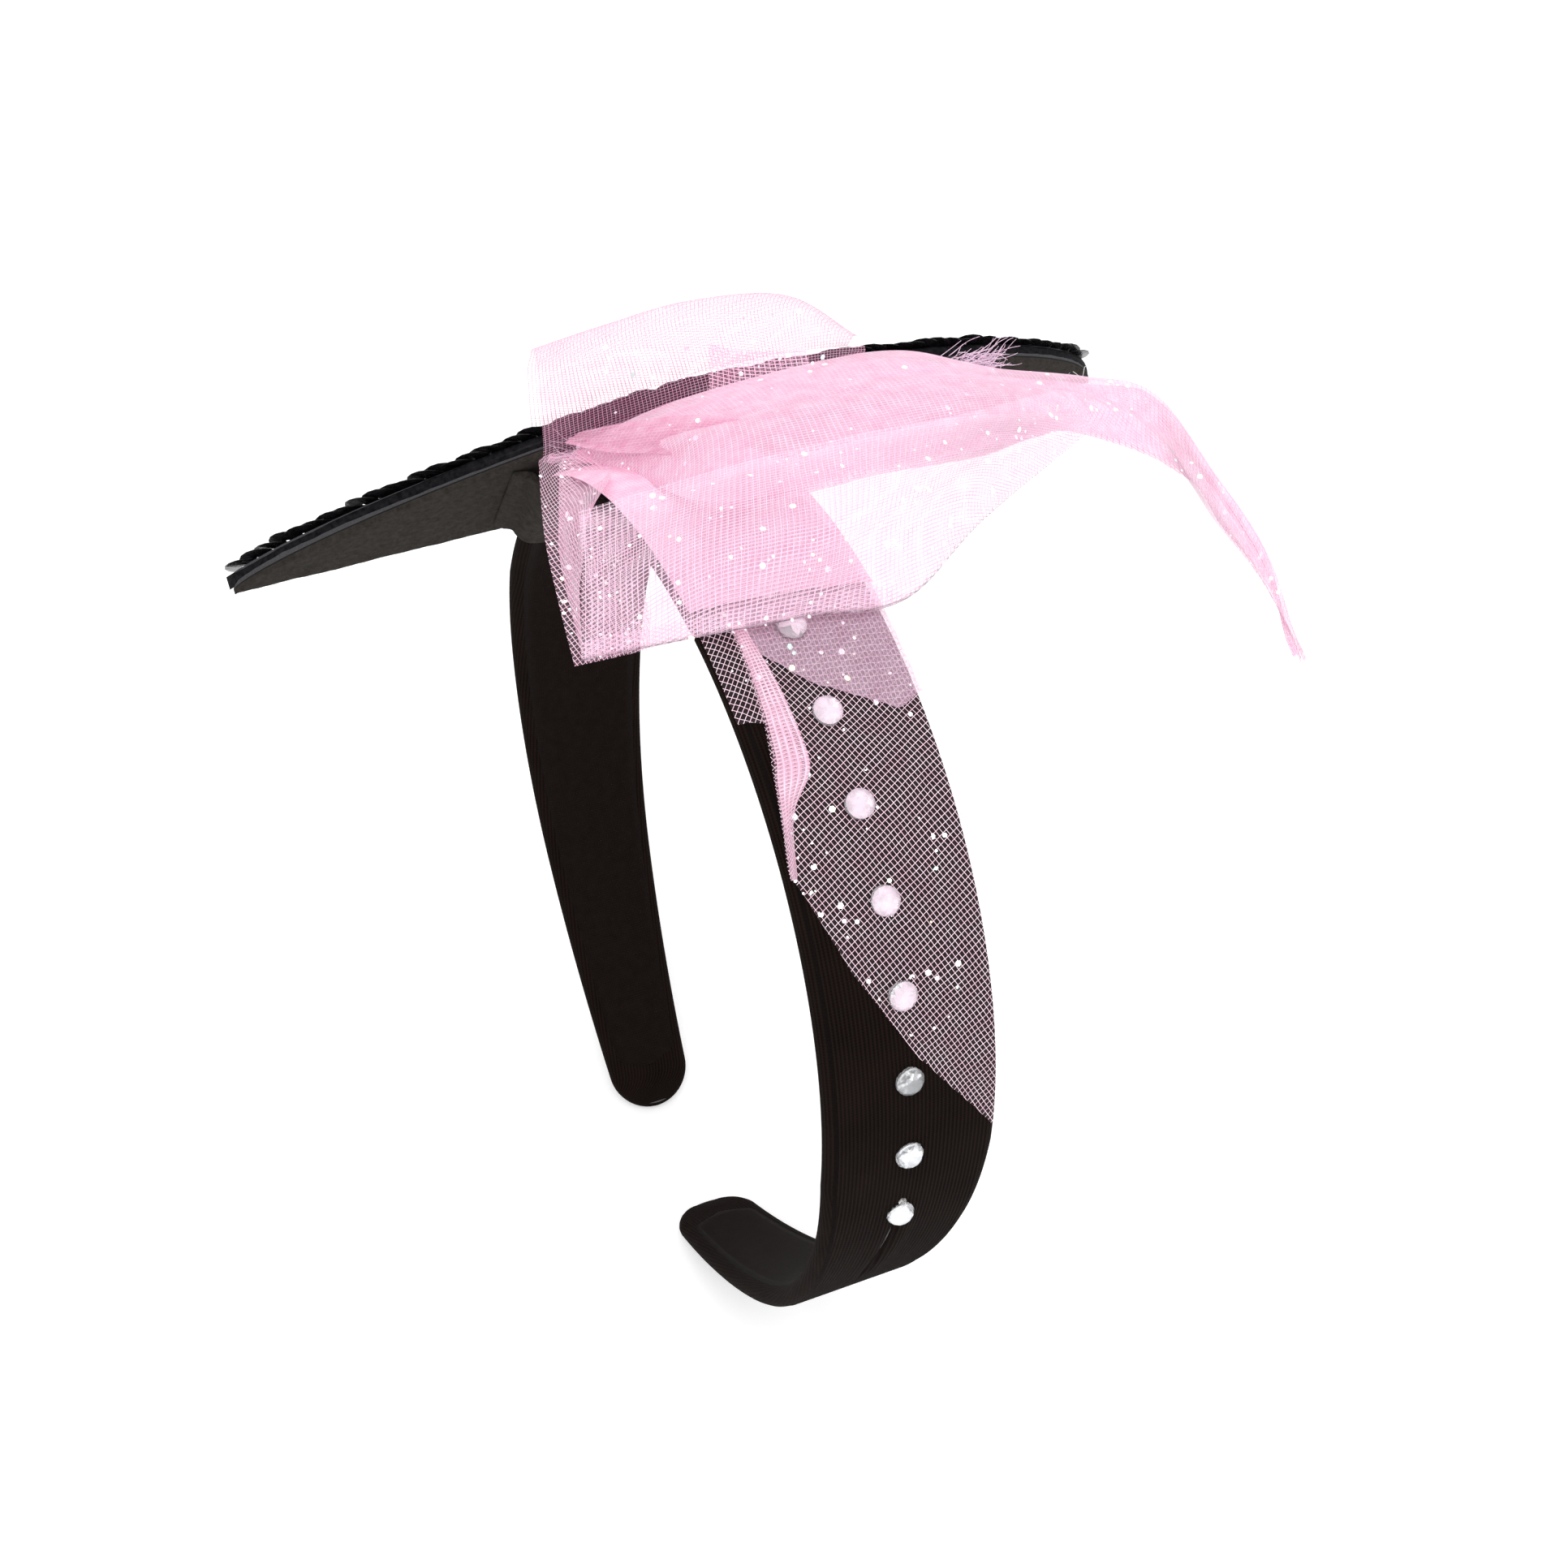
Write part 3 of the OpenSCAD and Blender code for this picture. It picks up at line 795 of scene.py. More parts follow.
@dataclass
class EarPanel:
    """The half-moon panel: felt back, foam board, wrapped sequin cloth and shingled sequins."""

    line: BandLine
    place: float = 72.0
    length: float = 150.5
    height: float = 33.5
    peak: float = 75.0
    reach: float = 59.0
    drop: float = 4.0
    lean: float = 5.0
    tip_fullness: float = 1.4
    end_fullness: float = 1.65
    felt_from: float = 2.0
    felt_to: float = 3.0
    cloth_to: float = 5.3
    sequin_d: float = 6.0
    sequin_step: float = 2.4
    sequin_tilt: float = 9.5
    felt: FeltFinish = FeltFinish()
    film: FilmFinish = FilmFinish()
    rng: random.Random = field(default_factory=lambda: random.Random(11))

    def level(self, high: float, y: float, off: float) -> np.ndarray:
        """A point from its height, place across the band and offset, in the panel's plane."""
        step = self.line.axes(-self.place) @ Vector((high, y, off))
        return self.line.at(-self.place, 0, 0) + np.array(step)

    def at(self, h: float, along: float, off: float) -> np.ndarray:
        """A point from its height over the straight edge, distance from the narrow tip and offset."""
        a = math.radians(self.lean)
        y = along - self.reach
        high = math.cos(a) * h + math.sin(a) * y - self.drop
        return self.level(high, -math.sin(a) * h + math.cos(a) * y, off)

    def edge(self, along: float) -> float:
        """Height of the curved edge at a distance from the narrow tip."""
        low = along < self.peak
        power = self.tip_fullness if low else self.end_fullness
        t = (self.peak - along) / self.peak if low else (along - self.peak) / (self.length - self.peak)
        return self.height * max(0.0, 1 - abs(t) ** power) ** (1 / power)

    def rows(self, count: int, inset: float) -> list[tuple[float, float, float]]:
        """Distance from the tip and the low and high edge of each row of a layer."""
        out = []
        for j in range(count + 1):
            share = (1 - math.cos(math.pi * j / count)) / 2
            along = inset + (self.length - 2 * inset) * share
            high = self.edge(self.length * share) * (self.height - 2 * inset) / self.height + inset
            out.append((along, inset, max(high, inset + 0.05)))
        return out

    def slab(self, name: str, inner: float, outer: float, inset: float, wobble: float) -> bpy.types.Object:
        """Makes a closed layer with soft edges.

        Args:
            name: The piece's name.
            inner: Offset of its inner face.
            outer: Offset of its outer face.
            inset: How far it stops inside the outline.
            wobble: How uneven its face is.

        Returns:
            The layer.
        """
        across, bend = 30, 6
        middle, half_t = (inner + outer) / 2, (outer - inner) / 2
        points, rows = [], self.rows(170, inset)
        for along, low, high in rows:
            centre, half = (low + high) / 2, (high - low) / 2
            soft = min(0.7, half)
            flat = half - soft
            ring = [(centre - flat + 2 * flat * k / across, half_t) for k in range(across + 1)]
            ring += [(centre + flat + soft * math.sin(a), half_t * math.cos(a))
                     for a in (math.pi * k / bend for k in range(1, bend))]
            ring += [(centre + flat - 2 * flat * k / across, -half_t) for k in range(across + 1)]
            ring += [(centre - flat - soft * math.sin(a), -half_t * math.cos(a))
                     for a in (math.pi * k / bend for k in range(1, bend))]
            for h, off in ring:
                broad, close = ripple(h * 0.16, along * 0.16, 3.1), ripple(h * 0.7, along * 0.7, 7.7)
                bump = wobble * (broad + 0.5 * close)
                points.append(self.at(h, along, middle + off + (bump if off < 0 else 0.0)))
        count = 2 * (across + bend)
        return make_mesh(name, np.array(points), tube_faces(len(rows), count))

    def build_felt(self) -> bpy.types.Object:
        """Makes the felt back."""
        piece = self.slab("felt_back", self.felt_from - 0.05, self.felt_to + 0.05, 0.5, 0.16)
        return dress(piece, self.felt.build(), "black_felt", "panel_felt")

    def build_fuzz(self, felt: bpy.types.Material) -> bpy.types.Object:
        """Raises loose fibres from the felt's face and edges."""
        fibres = Strands(sides=3)
        for i in range(FELT_FIBRES):
            along = self.rng.uniform(1.5, self.length - 1.5)
            top = self.edge(along) - 0.6
            on_edge = i % 5 < 2
            h = self.rng.choice((0.5, top)) if on_edge else self.rng.uniform(0.6, max(0.7, top))
            depth = self.rng.uniform(self.felt_from, self.felt_to) if on_edge else self.felt_from
            root = self.at(h, along, depth)
            out = (self.at(h + (1 if h > 2 else -1), along, 0) - self.at(h, along, 0)) if on_edge \
                else self.at(h, along, -1) - self.at(h, along, 0)
            heading = out + np.array([self.rng.uniform(-1, 1) for _ in range(3)]) * 1.1
            fibres.add(curl(root, heading, self.rng.uniform(0.35, 1.0), 0.6, 0.25, self.rng)[::2], 0.022, 0.3)
        return fibres.build("felt_fuzz", felt, "black_felt")

    def build_cloth(self) -> bpy.types.Object:
        """Wraps the glossy sequin cloth over the board's face and round its rim."""
        across, bend, turn_in = 30, 8, 1.4
        points, rows = [], self.rows(170, 0.0)
        inner, outer = self.felt_to + 0.12, self.cloth_to
        middle, half_t = (inner + outer) / 2, (outer - inner) / 2
        for along, low, high in rows:
            centre, half = (low + high) / 2, (high - low) / 2
            soft = min(1.1, half)
            flat = half - soft
            lip = min(turn_in, flat)
            ring = [(centre - flat + lip, -half_t)]
            ring += [(centre - flat - soft * math.sin(a), -half_t * math.cos(a))
                     for a in (math.pi * k / bend for k in range(bend + 1))]
            ring += [(centre - flat + 2 * flat * k / across, half_t) for k in range(1, across)]
            ring += [(centre + flat + soft * math.sin(a), half_t * math.cos(a))
                     for a in (math.pi * k / bend for k in range(bend + 1))]
            ring.append((centre + flat - lip, -half_t))
            for h, off in ring:
                bump = 0.12 * ripple(h * 0.5, along * 0.35, 1.7)
                points.append(self.at(h, along, middle + off + bump))
        count = across + 2 * bend + 3
        piece = make_mesh("sequin_cloth_wrap", np.array(points), grid_faces(len(rows), count))
        cloth = FilmFinish(name="sequin_cloth", roughness=0.5, grain=1.3, coat=0.04)
        dress(piece, cloth.build(), "sequin_cloth", "sequin_cloth")
        return piece

    def build_sequins(self) -> bpy.types.Object:
        """Sews on cupped sequins in columns, each lying over the one nearer the round end."""
        profile = [(0.12, 0.0), (0.4, 0.02), (0.82, 0.14), (1.0, 0.26)]
        sides, thick, r = 14, 0.1, self.sequin_d / 2
        points, faces = [], []
        columns = int((self.length - self.sequin_d * 0.7) / self.sequin_step)
        for i in range(columns + 1):
            along = self.sequin_d * 0.5 + i * self.sequin_step
            h = self.edge(along) - 2.3 - self.rng.uniform(0, 0.4)
            while h > 1.0:
                tilt = math.radians(self.sequin_tilt + self.rng.uniform(-4, 4))
                roll = math.radians(self.rng.uniform(-7, 7))
                start = len(points)
                for side in (1, -1):
                    for share, cup in profile:
                        for k in range(sides):
                            a = 2 * math.pi * (k + 0.5 * (i % 2)) / sides
                            dh, dy = share * r * math.cos(a), share * r * math.sin(a)
                            up = cup * r * 0.2 + side * thick / 2
                            up += (r - dy) * math.sin(tilt) + dh * math.sin(roll)
                            off = self.cloth_to + 0.1 + up
                            points.append(self.at(h + dh, along + dy * math.cos(tilt), off))
                rings = len(profile)
                faces += grid_faces(rings, sides, closed=True, start=start)
                faces += [f[::-1] for f in grid_faces(rings, sides, closed=True, start=start + rings * sides)]
                for ring in (0, rings - 1):
                    for k in range(sides):
                        a, b = start + ring * sides + k, start + ring * sides + (k + 1) % sides
                        face = [a, b, b + rings * sides, a + rings * sides]
                        faces.append(face if ring else face[::-1])
                h -= self.sequin_d + 0.15 + self.rng.uniform(-0.25, 0.25)
        piece = make_mesh("sequins_shingled", np.array(points), faces, smooth=False)
        return dress(piece, self.film.build(), "black_sequins", "sequins")

    def build_bridge(self, felt: bpy.types.Material) -> bpy.types.Object:
        """Wraps the felt strap round the inside of the band, flowing into the panel's back."""
        wall, thick = self.line.width / 2 + 0.15, 1.0
        base, points, columns = self.line.at(-self.place, 0, 0), [], 0
        axes = np.array(self.line.axes(-self.place).to_3x3())
        stations = np.linspace(-52.5, -73.4, 34)
        for s in stations:
            inner = self.line.at(s, 0, -self.line.seat - 0.12)
            high, _, deep = (inner - base) @ axes
            path = [(-wall - 4.0, 1.85), (-wall - 2.2, 1.65), (-wall - 0.4, 0.9), (-wall, deep + 1.4),
                    (-wall + 1.3, deep), (0.0, deep)]
            path += [(-y, off) for y, off in path[-2::-1]]
            path = np.array(path)
            for _ in range(3):
                near, far = path[:-1], path[1:]
                cut = np.concatenate([near * 0.75 + far * 0.25, near * 0.25 + far * 0.75], axis=1)
                path = np.concatenate([path[:1], cut.reshape(-1, 2), path[-1:]])
            ahead = np.gradient(path, axis=0)
            normal = np.stack([ahead[:, 1], -ahead[:, 0]], axis=1)
            normal /= np.linalg.norm(normal, axis=1)[:, None]
            thin = np.minimum(1.0, np.linspace(0, 1, len(path)) * 8)
            thin = np.minimum(thin, thin[::-1])[:, None] * 0.85 + 0.15
            under = path + normal * thick * thin
            ring = np.concatenate([path, under[::-1]])
            columns = len(ring)
            for y, off in ring:
                fuzz = 0.08 * ripple(y * 0.9, s * 0.9, 4.4)
                points.append(self.level(high, y, off + fuzz))
        piece = make_mesh("felt_strap", np.array(points), tube_faces(len(stations), columns))
        return dress(piece, felt, "black_felt", "felt_bridge")


# ---------------------------------------------------------------- stones


@dataclass
class StoneRow:
    """Faceted flat-back stones glued along the near arm, with their foil and glue."""

    line: BandLine
    count: int = 8
    first: float = 9.6
    step: float = 12.55
    side: float = -0.8
    across: float = 4.1
    high: float = 1.5
    girdle: float = 0.3
    glue_t: float = 0.15
    bases: tuple[float, float, float] = (2.6, 2.1, 1.6)
    upper_end: float = 18.0
    veil_end: float = 68.0

    def base(self, s: float) -> float:
        """Offset of what the stone at s is glued to."""
        return self.bases[0] if s < self.upper_end else self.bases[1] if s < self.veil_end else self.bases[2]

    def rings(self, i: int, rings: list[tuple[float, float, int, float]]) -> np.ndarray:
        """Points of a stack of rings on stone i.

        Args:
            i: The stone's number, from 0.
            rings: Radius, height, number of points and turn of each ring.

        Returns:
            The points.
        """
        s = self.first + i * self.step
        centre, axes = self.line.at(s, self.side, self.base(s)), np.array(self.line.axes(s).to_3x3())
        spin, out = i * 0.37, []
        for radius, up, count, turn in rings:
            for k in range(count):
                a = 2 * math.pi * (k + turn) / count + spin
                out.append(centre + axes @ np.array([radius * math.cos(a), radius * math.sin(a), up]))
        return np.array(out)

    def build_stone(self, i: int, glass: bpy.types.Material) -> bpy.types.Object:
        """Cuts one stone: a wide table, two rows of facets, a girdle and a flat back."""
        r, low = self.across / 2, self.glue_t + 0.12
        top = self.glue_t + self.high
        points = self.rings(i, [(r * 0.52, top, 8, 0.0), (r * 0.80, low + self.girdle + 0.62, 8, 0.5),
                                (r, low + self.girdle, 16, 0.0), (r, low, 16, 0.0)])
        faces: list[list[int]] = [list(range(8))]
        for k in range(8):
            n = (k + 1) % 8
            mid, mid_next = 8 + k, 8 + n
            rim = [16 + (2 * k + j) % 16 for j in range(4)]
            faces += [[k, mid, n], [n, mid, rim[2], mid_next], [mid, rim[0], rim[1]], [mid, rim[1], rim[2]]]
        faces += [[16 + k, 32 + k, 32 + (k + 1) % 16, 16 + (k + 1) % 16] for k in range(16)]
        faces.append([32 + k for k in range(16)][::-1])
        stone = make_mesh(f"stone_{i + 1}", points, faces, smooth=False)
        return dress(stone, glass, "clear_stone", f"rhinestone_{i + 1}")

    def build_foil(self, i: int, foil: bpy.types.Material) -> bpy.types.Object:
        """Lays the backing of one stone, pleated like the facets in front of it."""
        r, low = self.across / 2 - 0.06, self.glue_t + 0.02
        n = FOIL_SIDES
        rings = self.rings(i, [(0.1, low + 0.05, n, 0.0), (r * 0.5, low + 0.09, n, 0.5),
                               (r, low + 0.09, n, 0.0), (r, low, n, 0.0)])
        pleat = np.array([0.07 if k % 2 else 0.0 for k in range(n)])
        outward = np.array(self.line.axes(self.first + i * self.step).to_3x3())[:, 2]
        rings[n:2 * n] -= pleat[:, None] * outward
        faces = grid_faces(4, n, closed=True) + [list(range(n)), list(range(3 * n, 4 * n))[::-1]]
        piece = make_mesh(f"stone_backing_{i + 1}", rings, faces, smooth=False)
        return dress(piece, foil, "clear_stone")

    def build_glue(self, glue: bpy.types.Material) -> bpy.types.Object:
        """Squeezes a thin skirt of glue round each stone, and a nub of it by the last."""
        points, faces = [], []
        spots = [(i, 0.0, self.across / 2 + 0.02, 0.2) for i in range(self.count)]
        spots.append((self.count - 1, -self.across / 2 - 0.55, 0.62, 0.75))
        sides, levels = 20, 5
        for number, (i, shift, radius, high) in enumerate(spots):
            s, start = self.first + i * self.step + shift, len(points)
            axes = np.array(self.line.axes(s).to_3x3())
            centre = self.line.at(s, self.side, self.base(self.first + i * self.step) - 0.02)
            for j in range(levels + 1):
                a = math.pi / 2 * j / levels
                for k in range(sides):
                    b = 2 * math.pi * k / sides
                    size = radius * (1 + 0.09 * ripple(2 * math.cos(b), 2 * math.sin(b), number * 3.3))
                    out = size * (1 - 0.16 * math.sin(a) - (0.78 * (1 - math.cos(a)) if shift else 0))
                    spread = np.array([out * math.cos(b), out * math.sin(b), high * math.sin(a)])
                    points.append(centre + axes @ spread)
            faces += tube_faces(levels + 1, sides, start)
        return dress(make_mesh("glue_skirts", np.array(points), faces), glue, "glue", "stone_glue")


# ---------------------------------------------------------------- tulle


@dataclass
class TulleSheet:
    """One sheet of tulle through listed points, rows from its held edge to its free edge.

    A hem is a strip folded back along the last row, and folds are ridges that run with the rows.
    """

    name: str
    net: list[Row]
    held: Layout
    rests_on: tuple[str, ...]
    stands_for: tuple[str, ...] = ()
    fine: int = 12
    fold: float = 0.5
    fold_rate: tuple[float, float] = (1.2, 5.0)
    seed: float = 1.0
    hem: int = 0
    shift: float = 0.0
    turn: float = 0.0
    points: np.ndarray = field(default_factory=lambda: np.zeros((1, 1, 3)))

    def surface(self) -> np.ndarray:
        """The sheet's points: rows, columns and their three coordinates."""
        rows = np.array([spline(np.array(row), self.fine) for row in self.net])
        grid = spline(rows, self.fine)
        along, down = np.gradient(grid, axis=1), np.gradient(grid, axis=0)
        normal = np.cross(along, down)
        normal /= np.linalg.norm(normal, axis=2)[:, :, None] + 1e-9
        high = np.zeros(grid.shape[:2])
        for j in range(grid.shape[0]):
            for i in range(grid.shape[1]):
                u, v = i / (grid.shape[1] - 1), j / (grid.shape[0] - 1)
                calm = min(1.0, 6 * v, 6 * (1 - v)) if self.hem == 0 else min(1.0, 6 * v)
                wave = ripple(u * self.fold_rate[0], v * self.fold_rate[1], self.seed)
                high[j, i] = self.fold * calm * wave
        grid = grid + normal * (high + self.shift)[:, :, None]
        if self.hem:
            across = np.linspace(0, 1, grid.shape[1])[:, None]
            full = np.clip((0.62 - across) / 0.08, 0.03, 1.0)
            back = [grid[-1] + (grid[-1 - k] - grid[-1] + normal[-1 - k] * 0.22) * full
                    for k in range(1, self.hem + 1)]
            grid = np.concatenate([grid, np.array(back)])
        return grid

    def cloth_map(self, grid: np.ndarray) -> np.ndarray:
        """Distances along the cloth in millimetres, turned to the way its threads run."""
        along = np.linalg.norm(np.diff(grid, axis=1), axis=2).mean(axis=0)
        down = np.linalg.norm(np.diff(grid, axis=0), axis=2)
        u = np.concatenate([[0.0], np.cumsum(along)])
        v = np.concatenate([np.zeros((1, grid.shape[1])), np.cumsum(down, axis=0)])
        return turned(np.stack([np.broadcast_to(u, v.shape), v], axis=2), self.turn)

    def build(self, material: bpy.types.Material) -> bpy.types.Object:
        """Makes the sheet, dresses it and hides the CAD nodes that it stands for."""
        grid = self.surface()
        self.points = grid
        rows, columns = grid.shape[:2]
        piece = make_mesh(self.name, grid.reshape(-1, 3), grid_faces(rows, columns), self.cloth_map(grid))
        dress(piece, material, "pink_tulle", *self.stands_for)
        return piece


@dataclass
class ArmVeil:
    """A layer of tulle laid on the near arm, from behind the crown to a slanted cut."""

    name: str
    line: BandLine
    cut: tuple[tuple[float, float], ...]
    left: float
    off: float
    node: str
    seed: float
    back: float = 5.0
    turn: float = 17.0
    right: float = 13.1
    start: tuple[tuple[float, float], ...] = ()
    points: np.ndarray = field(default_factory=lambda: np.zeros((1, 1, 3)))

    def end(self, y: float) -> float:
        """Distance along the arm that the layer reaches at y."""
        return float(np.interp(y, [p[0] for p in self.cut], [p[1] for p in self.cut]))

    def begin(self, y: float) -> float:
        """Distance along the arm that the layer starts at, at y."""
        return float(np.interp(y, [p[0] for p in self.start], [p[1] for p in self.start])) \
            if self.start else -self.back

    def build(self, material: bpy.types.Material) -> bpy.types.Object:
        """Lays the layer on the band, a little wavy and lifting along its cut."""
        columns, rows = 46, 90
        grid, flat = np.zeros((rows, columns, 3)), np.zeros((rows, columns, 2))
        for i in range(columns):
            y = self.left + (self.right - self.left) * i / (columns - 1)
            stop = self.end(y) + 0.25 * ripple(y * 0.8, 0.0, self.seed)
            first = self.begin(y)
            over = max(0.0, abs(y) - self.line.width / 2 + 1.2)
            for j in range(rows):
                t = j / (rows - 1)
                s = first + (stop - first) * t
                lift = 0.12 * ripple(s * 0.12, y * 0.2, self.seed) + 0.35 * max(0.0, t - 0.97) / 0.03
                grid[j, i] = self.line.at(s, y, self.off + max(-0.02, lift) - over * 0.35)
                flat[j, i] = (s, y)
        self.points = grid
        piece = make_mesh(self.name, grid.reshape(-1, 3), grid_faces(rows, columns), turned(flat, self.turn))
        dress(piece, material, "pink_tulle", *([self.node] if self.node else []))
        return piece


def ripple(x: float, y: float, seed: float) -> float:
    """Smooth noise from about -1 to 1."""
    return noise.noise(Vector((x, y, seed * 7.31)))


@dataclass
class TulleBow:
    """The gathered tulle: front sheet, top with its tail, left flap, crest, veils and their trimmings."""

    line: BandLine
    panel: EarPanel
    net: TulleFinish = TulleFinish(haze=0.5)
    thin: TulleFinish = TulleFinish(name="pink_tulle_single", haze=0.13)
    # The pleat finish is a deeper, darker pink: painted shade for the fold over the top sheet.
    full: TulleFinish = TulleFinish(
        name="pink_tulle_pleat_shade", haze=0.6, pale=(0.88, 0.50, 0.66), deep=(0.80, 0.36, 0.52), painted_glow=0.1)
    wrap: TulleFinish = TulleFinish(name="pink_tulle_wrap", haze=0.8)
    open_net: TulleFinish = TulleFinish(
        name="pink_tulle_arm", haze=0.02, thread=0.08, wide_pitch=0.82, close_pitch=0.62,
        pale=(0.96, 0.76, 0.85), deep=(0.90, 0.62, 0.73), painted_glow=0.1, dense=0.2)
    flap_net: TulleFinish = TulleFinish(
        name="pink_tulle_flap", haze=0.08, thread=0.11, wide_pitch=0.55, close_pitch=0.85,
        pale=(0.96, 0.72, 0.84), deep=(0.92, 0.58, 0.72), painted_glow=0.1, dense=0.2)
    mist: TulleFinish = TulleFinish(
        name="pink_tulle_mist", haze=0.40, thread=0.05, pale=(0.80, 0.56, 0.70), deep=(0.72, 0.46, 0.60),
        painted_glow=0.08)
    strip_net: TulleFinish = TulleFinish(
        name="pink_tulle_strip", haze=0.16, thread=0.16, wide_pitch=0.6, close_pitch=0.5,
        pale=(0.93, 0.66, 0.78), deep=(0.85, 0.52, 0.66), painted_glow=0.08)
    crest_net: TulleFinish = TulleFinish(
        name="pink_tulle_crest", haze=0.08, thread=0.06, wide_pitch=0.6, close_pitch=0.5,
        pale=(0.96, 0.60, 0.77), deep=(0.94, 0.50, 0.69), painted_glow=0.05, dense=0.7)
    front_net: TulleFinish = TulleFinish(
        name="pink_tulle_front", haze=0.14, thread=0.10, pale=(0.95, 0.70, 0.84), deep=(0.93, 0.61, 0.77),
        painted_glow=0.09, dense=0.35)
    rng: random.Random = field(default_factory=lambda: random.Random(23))
    laid: list[tuple[np.ndarray, int]] = field(default_factory=list)
    gather: float = 20.0

    front: tuple[Row, ...] = (
        [(-14, -22, 9), (-12, -5, 13), (-12, 11, 14), (-13, 28, 13), (-16, 45, 8), (-22, 62, -1)],
        [(-4, -25, 6), (3, -12, 13), (4, 5, 14), (2, 19, 13), (-6, 36, 9), (-21, 63, -2)],
        [(4, -28, 0), (10, -14, 6), (11, 1, 6), (12, 15, 6), (2, 32, 7), (-20, 64, -3)])
    top: tuple[Row, ...] = (
        [(-48, -8, -11.5), (-44, -7, -6.5), (-41, 4, 0), (-40, 25, 3), (-42, 42, 0), (-44, 60, -9),
         (-40, 75, -11), (-30, 82, -8), (-14, 85, -12), (-2, 90, -20), (8, 94, -33)],
        [(-47.5, -9, -12), (-38, -6, -3.5), (-26, 3, 8), (-25, 22, 10), (-26, 42, 7), (-30, 56, 0),
         (-31, 72, -7), (-24, 80, -10), (-12, 84, -14), (-1, 89, -22), (9, 94, -33)],
        [(-47, -10, -12.5), (-33, -6, -5), (-8, -4, 11), (-7, 20, 12), (-9, 37, 9), (-17, 52, 2),
         (-24, 66, -7), (-19, 80, -13), (-9, 84, -18), (0, 89, -24), (10, 94, -34)])
    flap: tuple[Row, ...] = (
        [(-44, -16, -9), (-46, -13, -10), (-46, -10, -11)],
        [(-32, -20, -7), (-31, -15, -7), (-30, -10, -7)],
        [(-22, -23, -5), (-18, -17, -5), (-14, -12, -6)],
        [(-8, -26, -4), (-6, -20, -3), (-4, -15, -3)],
        [(2, -28, -3), (3, -23, -2), (3, -18, -2)])
    loop: tuple[Row, ...] = (
        [(-50, -13, -15.5), (-48, 0, -11), (-46.5, 13, -8), (-46, 27, -7), (-46.5, 38, -8)],
        [(-50, -13, -11.5), (-48, 0, -7), (-46.5, 13, -3.5), (-46.5, 27, -3), (-47, 38, -4)],
        [(-48.5, -14.5, -1.5), (-48, -2, 1.5), (-48, 11, 3.5), (-47.5, 26, 3), (-46.5, 38, -2.5)],
        [(-49, -15.5, 7.5), (-50, -4.5, 8.5), (-51, 9.5, 9.5), (-50.5, 25.5, 7.5), (-47.5, 37.5, -1)],
        [(-54, -14.5, -1.5), (-54, -2.5, 1), (-53.5, 11, 3), (-53.5, 26, 2.5), (-49.5, 37.5, -2)],
        [(-55.5, -13, -13.5), (-53.5, 0, -9), (-52, 13, -5.5), (-52, 27, -5), (-52, 38, -6)])
    # Rows of the darker sheet that paints the shade of a fold on the top sheet.
    pleat: tuple[Row, ...] = (
        [(-46, -8, -8), (-38, -3, -0.5), (-29, 4, 6), (-20, 10.5, 9)],
        [(-46.5, -9.2, -9.5), (-37, -5, -2.5), (-27, 1, 4.5), (-19, 6, 8)],
        [(-46, -10.5, -10), (-36, -7, -4), (-27, -3, 2), (-19, -1, 6)])
    fan: tuple[Row, ...] = (
        [(-47, -8.5, -11), (-36, -8.5, -6), (-25, -13, 2.5), (-14.5, -20.5, 8.5)],
        [(-47, -10.5, -12.5), (-35, -14.5, -8), (-21, -20, -0.5), (-6, -24.5, 5)],
        [(-47, -11.5, -13.5), (-34, -16.5, -10.5), (-18, -22.5, -4), (3, -27.5, 0)])
    inner_crest: tuple[Row, ...] = (
        [(-47.5, 11.6, 3.9), (-47, 17.4, 1.6), (-46, 27.4, 0.2)],
        [(-46, 11.3, 0), (-45.5, 17.5, -1), (-45, 27.5, -1.2)],
        [(-44.5, 11, -3.6), (-44, 17.5, -3), (-43.5, 27.5, -2.6)])

    def keep(self, sheet: "TulleSheet | ArmVeil", flakes: int, material: bpy.types.Material) -> None:
        """Builds a sheet and notes how many glitter flakes it carries."""
        sheet.build(material)
        self.laid.append((sheet.points, flakes))

